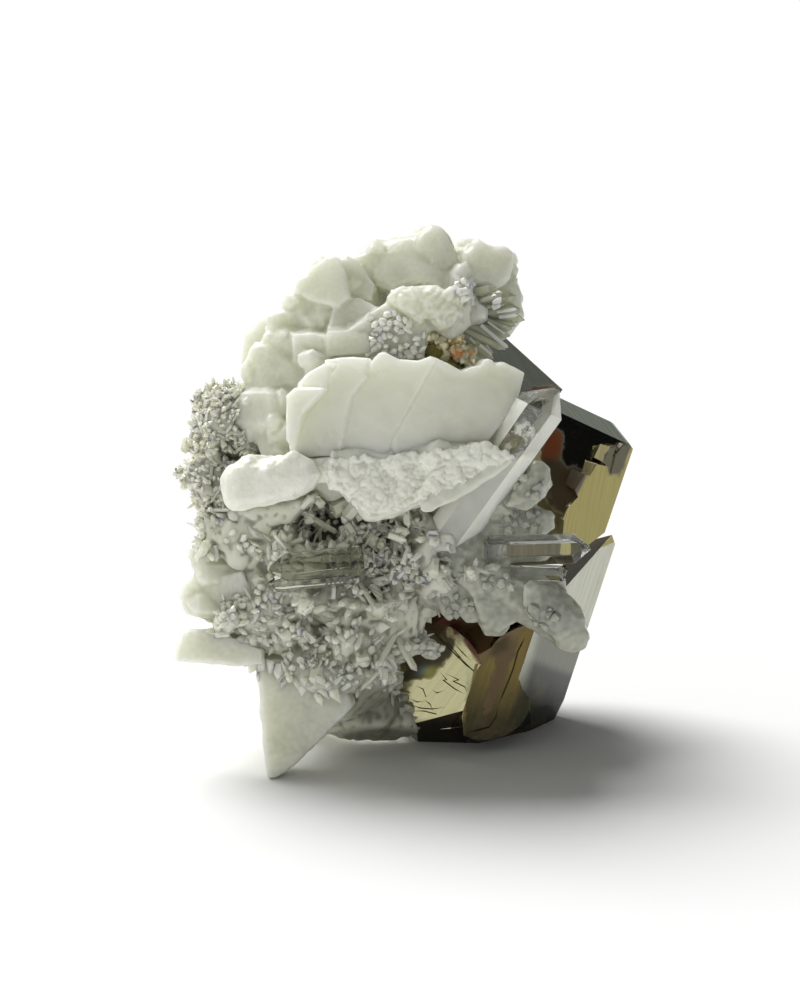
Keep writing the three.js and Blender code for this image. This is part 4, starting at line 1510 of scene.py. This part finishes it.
# Hollows: pixel and half sizes of an ellipse, how deep in mm and how dark their painted shade is; those not
# sunk are painted shade only
LOWER_HOLLOWS = (
    ((322, 528), (32, 26), 4.5, 1.0), ((378, 537), (50, 28), 2.2, 0.95), ((352, 578), (62, 32), 1.2, 0.8),
    ((402, 575), (32, 32), 0.6, 0.6), ((330, 612), (52, 28), 0.3, 0.35), ((290, 645), (62, 30), 0.0, 0.25),
    ((378, 704), (46, 24), 0.2, 0.55), ((385, 739), (66, 15), 0.0, 0.8), ((380, 635), (34, 26), 0.0, 0.3),
)
LEFT_HOLLOWS = (
    ((231, 450), (18, 16), 1.6, 0.8), ((214, 511), (12, 16), 1.6, 0.8), ((220, 477), (16, 18), 0.8, 0.5),
    ((205, 450), (16, 30), 0.0, 0.3), ((206, 502), (24, 22), 0.0, 0.35),
)

# Where small crystals are dense: pixel and half sizes
LOWER_CRUSTS = (
    ((372, 560), (60, 55)), ((285, 650), (80, 60)), ((330, 690), (80, 36)), ((250, 590), (60, 60)),
)

# The smooth lump at the foot, as an outline of pixels
FOOT = (
    (336, 716), (345, 704), (366, 694), (388, 691), (402, 694), (409, 706), (413, 718), (419, 728),
    (420, 737), (400, 741), (382, 741), (364, 744), (355, 743), (346, 737), (337, 729),
)

# Smooth lumps between the needles: outline of pixels, lift in mm, facing and dome in mm
SMOOTH_LUMPS = (
    (((402, 640), (394, 628), (408, 606), (422, 590), (436, 582), (446, 592), (434, 612), (418, 634)), 0.3,
      (-0.1, -1, -0.1), 0.4),
    (((428, 522), (440, 505), (462, 490), (480, 496), (484, 512), (472, 530), (452, 540), (436, 538)), 0.2,
      (0, -1, 0.2), 0.5),
    (((228, 512), (246, 508), (272, 506), (300, 500), (316, 500), (306, 520), (270, 528), (240, 526)), 0.2,
      (-0.1, -1, -0.1), 0.6),
    (((212, 560), (236, 548), (262, 560), (258, 584), (232, 594), (214, 584)), 0.4, (-0.3, -1, 0.2), 0.3),
)

# Rods that stand out, and stubs that hang over the white tooth: pixels of root and tip, width in mm
RODS = (
    ((302, 512), (338, 533), 0.9), ((309, 523), (327, 531), 0.7), ((338, 561), (371, 552), 0.8),
    ((353, 574), (375, 607), 0.8), ((365, 574), (384, 586), 1.1), ((391, 591), (415, 589), 1.0),
    ((395, 562), (396, 539), 1.0), ((322, 611), (335, 617), 1.1), ((309, 632), (296, 608), 1.2),
    ((328, 536), (332, 552), 0.8), ((345, 528), (352, 546), 0.7), ((360, 530), (352, 548), 0.7),
    ((398, 629), (378, 667), 1.0), ((396, 636), (416, 671), 1.2), ((383, 668), (360, 690), 0.8),
    ((330, 640), (337, 660), 0.8), ((420, 560), (410, 580), 0.9), ((300, 590), (291, 606), 0.8),
)
HANGING = (
    ((250, 655), (245, 668), 2.0), ((257, 658), (251, 674), 2.2), ((264, 660), (259, 678), 2.0),
    ((272, 662), (268, 676), 2.4), ((280, 664), (278, 684), 2.0), ((288, 668), (288, 680), 2.4),
    ((296, 670), (300, 686), 2.2), ((304, 676), (308, 688), 2.0), ((312, 680), (318, 694), 2.2),
    ((322, 684), (328, 700), 2.0), ((332, 690), (340, 704), 2.2), ((262, 668), (258, 683), 1.4),
    ((284, 676), (282, 690), 1.4), ((303, 684), (303, 696), 1.5), ((318, 694), (322, 706), 1.4),
)


def build_bed(node, seed, hollows, crusts):
    """A druse's bed with its hollows, the growth of its points, and the painted shade of its points in the
    hollows and at the foot.
    """
    bm = node_bmesh(node)
    if crusts:
        add_slab(bm, FOOT, spot(400, 715, -3.6), (0.1, -1, 0.1), 5 * MM, 0.6 * MM, 0.8 * MM)
    core = skin(node + "_core", bm, COARSE, 2)
    roughen(core.data, (0.5, 3.0, 20 + seed))
    lumps = add_lumps(core, SMOOTH_LUMPS if crusts else ())
    bed = skin(node + "_bed", joined(*lumps), 0.28 * MM, 1)
    mesh = bed.data
    roughen(mesh, (0.2, 1.1, 30 + seed))
    # Painted shade: the hollows, and patches that are not sunk, as at the foot, darken towards the hollow
    # colour.
    dark = np.zeros(len(mesh.vertices))
    depth = np.zeros(len(mesh.vertices))
    for pixel, sizes, deep, shade in hollows:
        part = patch(mesh, *pixel, *sizes)
        dark = np.maximum(dark, part * shade)
        depth = np.maximum(depth, part * deep)
    growth = np.full(len(mesh.vertices), 0.55 if crusts else 1.0)
    for pixel, sizes in crusts:
        growth = np.maximum(growth, patch(mesh, *pixel, *sizes))
    outlines = [FOOT] + [row[0] for row in SMOOTH_LUMPS]
    smooth = np.any([inside(mesh, outline) for outline in outlines], axis=0)
    growth *= (normals_of(mesh)[:, 2] > -0.4) & ~smooth
    set_points(mesh, points_of(mesh) + AHEAD_ROW * (depth * MM)[:, None])
    mark_edges(mesh)
    set_attribute(mesh, "hollow", dark)
    return bed, growth, dark


def add_rods(bed, needle, stub):
    """The rods on the bed, and the stubs that hang from it."""
    surface = Surface(bed.data)
    rods = []
    for root, tip, width in RODS:
        start = surface.at(*root)[0]
        end = surface.at(*tip, start)[0] - AHEAD * 1.0 * MM
        rods.append((start + AHEAD * 0.6 * MM, end, width))
    hanging = []
    for root, tip, width in HANGING:
        depth = -13.4 - 0.03 * (tip[0] - 240)
        hanging.append((spot(*root, depth + 0.8), spot(*tip, depth), width))
    for name, crystals, spin, finish in (
        ("rods", rods, 1.7, needle), ("hanging_stubs", hanging, 1.1, stub),
    ):
        bm = bmesh.new()
        add_prisms(bm, crystals, spin)
        finish_piece(object_of(bm, name), "clear_quartz", finish)


class SPECIMEN_OT_druse(bpy.types.Operator):
    """Builds the two beds and grows their needles"""

    bl_idname = "specimen.druse"
    bl_label = "Druse"

    def execute(self, context):
        settings = context.scene.specimen_quartz
        mass = druse_finish(
            "druse_mass", tuple(settings.druse_colour), tuple(settings.hollow_shade_colour)
        )
        needle = stub_finish("needle_quartz", (0.92, 0.92, 0.72), 0.3, 1.4)
        lower = stub_finish("lower_stubs", (0.92, 0.93, 0.75), 0.05)
        left = stub_finish("left_stubs", (0.84, 0.84, 0.65), 0.05)
        for node, order, stub, hollows, crusts, size in (
            ("lower_druse", 1, lower, LOWER_HOLLOWS, LOWER_CRUSTS, 1.0),
            ("left_druse", 2, left, LEFT_HOLLOWS, (), 0.7),
        ):
            bed, growth, dark = build_bed(node, order, hollows, crusts)
            set_attribute(bed.data, "growth", growth)
            seed = settings.seed + order
            length, width = settings.needle_length * size, settings.needle_width * size
            stout = crystals_on(
                node + "_stout", bed, stub, DRUSE_STOUT, seed + 30, length, width
            )
            stubs = crystals_on(
                node + "_stubs", bed, stub, DRUSE_STUBS, seed + 10, length, width, size * MM
            )
            set_attribute(bed.data, "growth", growth * np.maximum(dark, 0.35))
            needles = crystals_on(
                node + "_needles", bed, needle, DRUSE_NEEDLES, seed, length, settings.needle_width
            )
            finish_piece(bed, "druse_quartz", mass, node, smooth=True)
            for piece, finish in ((stout, stub), (stubs, stub), (needles, needle)):
                finish_piece(piece, "clear_quartz", finish)
            if crusts:
                add_rods(bed, needle, stub)
        return {"FINISHED"}


# The stage

# Brightness of the studio's walls from the left, at -1, to the dark right, at 1
WALLS = (
    (-1.0, (0.95, 0.95, 0.93)), (-0.4, (0.80, 0.80, 0.78)), (0.2, (0.62, 0.63, 0.61)),
    (0.48, (0.42, 0.43, 0.42)), (0.64, (0.17, 0.17, 0.17)), (0.86, (0.01, 0.01, 0.01)),
)
WALL_STRENGTH = 1.05  # at the level, and falling to the top
KEY_FROM = Vector((-0.34, 0.36, 0.87))  # towards the light
KEY_SPREAD = math.radians(42)


def studio_light(strength):
    """One large soft light from the upper left and behind, and pale walls that darken to the right."""
    lamp = bpy.data.lights.new("key", "SUN")
    lamp.energy = strength
    lamp.angle = KEY_SPREAD
    light = new_object("key", lamp)
    light.rotation_euler = KEY_FROM.to_track_quat("Z", "Y").to_euler()
    world = bpy.data.worlds.new("studio")
    bpy.context.scene.world = world
    world.use_nodes = True
    tree = Tree(world.node_tree)
    side, _, height = tree.separate(tree.add("ShaderNodeTexCoord", output="Generated"))
    stops = [(level / 2 + 0.5, colour) for level, colour in WALLS]
    colour = tree.add("ShaderNodeValToRGB", {"stops": stops}, {0: side * 0.5 + 0.5})
    sockets = {"Color": colour, "Strength": WALL_STRENGTH - height.clamped()}
    background = tree.add("ShaderNodeBackground", {}, sockets)
    tree.add("ShaderNodeOutputWorld", {}, {"Surface": background})


class SPECIMEN_OT_stage(bpy.types.Operator):
    """Sets up the pale floor, the soft light and the camera"""

    bl_idname = "specimen.stage"
    bl_label = "Stage"

    def execute(self, context):
        settings = context.scene.specimen_stage
        half = settings.floor_width / 2
        mesh = bpy.data.meshes.new("floor")
        corners = [(-half, -half, 0), (half, -half, 0), (half, half, 0), (-half, half, 0)]
        mesh.from_pydata(corners, [], [(0, 1, 2, 3)])
        mesh.materials.append(floor_finish("pale_floor", tuple(settings.floor_colour)))
        new_object("floor", mesh)

        camera = new_object("camera", bpy.data.cameras.new("camera"))
        camera.data.lens = settings.lens
        camera.data.clip_end = 50.0
        back = Vector((0, -math.cos(settings.camera_height), math.sin(settings.camera_height)))
        camera.location = AIM + back * settings.camera_distance
        camera.rotation_euler = (-back).to_track_quat("-Z", "Y").to_euler()
        context.scene.camera = camera
        context.scene.view_settings.view_transform = "Standard"

        studio_light(settings.key_strength)
        return {"FINISHED"}


# The add-on

class SPECIMEN_PT_panel(bpy.types.Panel):
    """The specimen's pieces and their settings"""

    bl_label = "Specimen"
    bl_space_type = "VIEW_3D"
    bl_region_type = "UI"
    bl_category = "Specimen"

    def draw(self, context):
        for operator in PIECES:
            self.layout.operator(operator.bl_idname)
        for name, group in SETTINGS.items():
            box = self.layout.box()
            box.label(text=group.__doc__)
            for setting in group.__annotations__:
                box.prop(getattr(context.scene, name), setting)


PIECES = (
    SPECIMEN_OT_stage,
    SPECIMEN_OT_pyrite,
    SPECIMEN_OT_sulphides,
    SPECIMEN_OT_clear_points,
    SPECIMEN_OT_milky_mass,
    SPECIMEN_OT_tablets,
    SPECIMEN_OT_blade,
    SPECIMEN_OT_lobes,
    SPECIMEN_OT_druse,
)
CLASSES = (*SETTINGS.values(), *PIECES, SPECIMEN_PT_panel)


def register():
    for item in CLASSES:
        bpy.utils.register_class(item)
    for name, group in SETTINGS.items():
        setattr(bpy.types.Scene, name, PointerProperty(type=group))


def unregister():
    for name in SETTINGS:
        delattr(bpy.types.Scene, name)
    for item in reversed(CLASSES):
        bpy.utils.unregister_class(item)


def main():
    register()
    for operator in PIECES:
        area, name = operator.bl_idname.split(".")
        getattr(getattr(bpy.ops, area), name)()


if __name__ == "__main__":
    main()
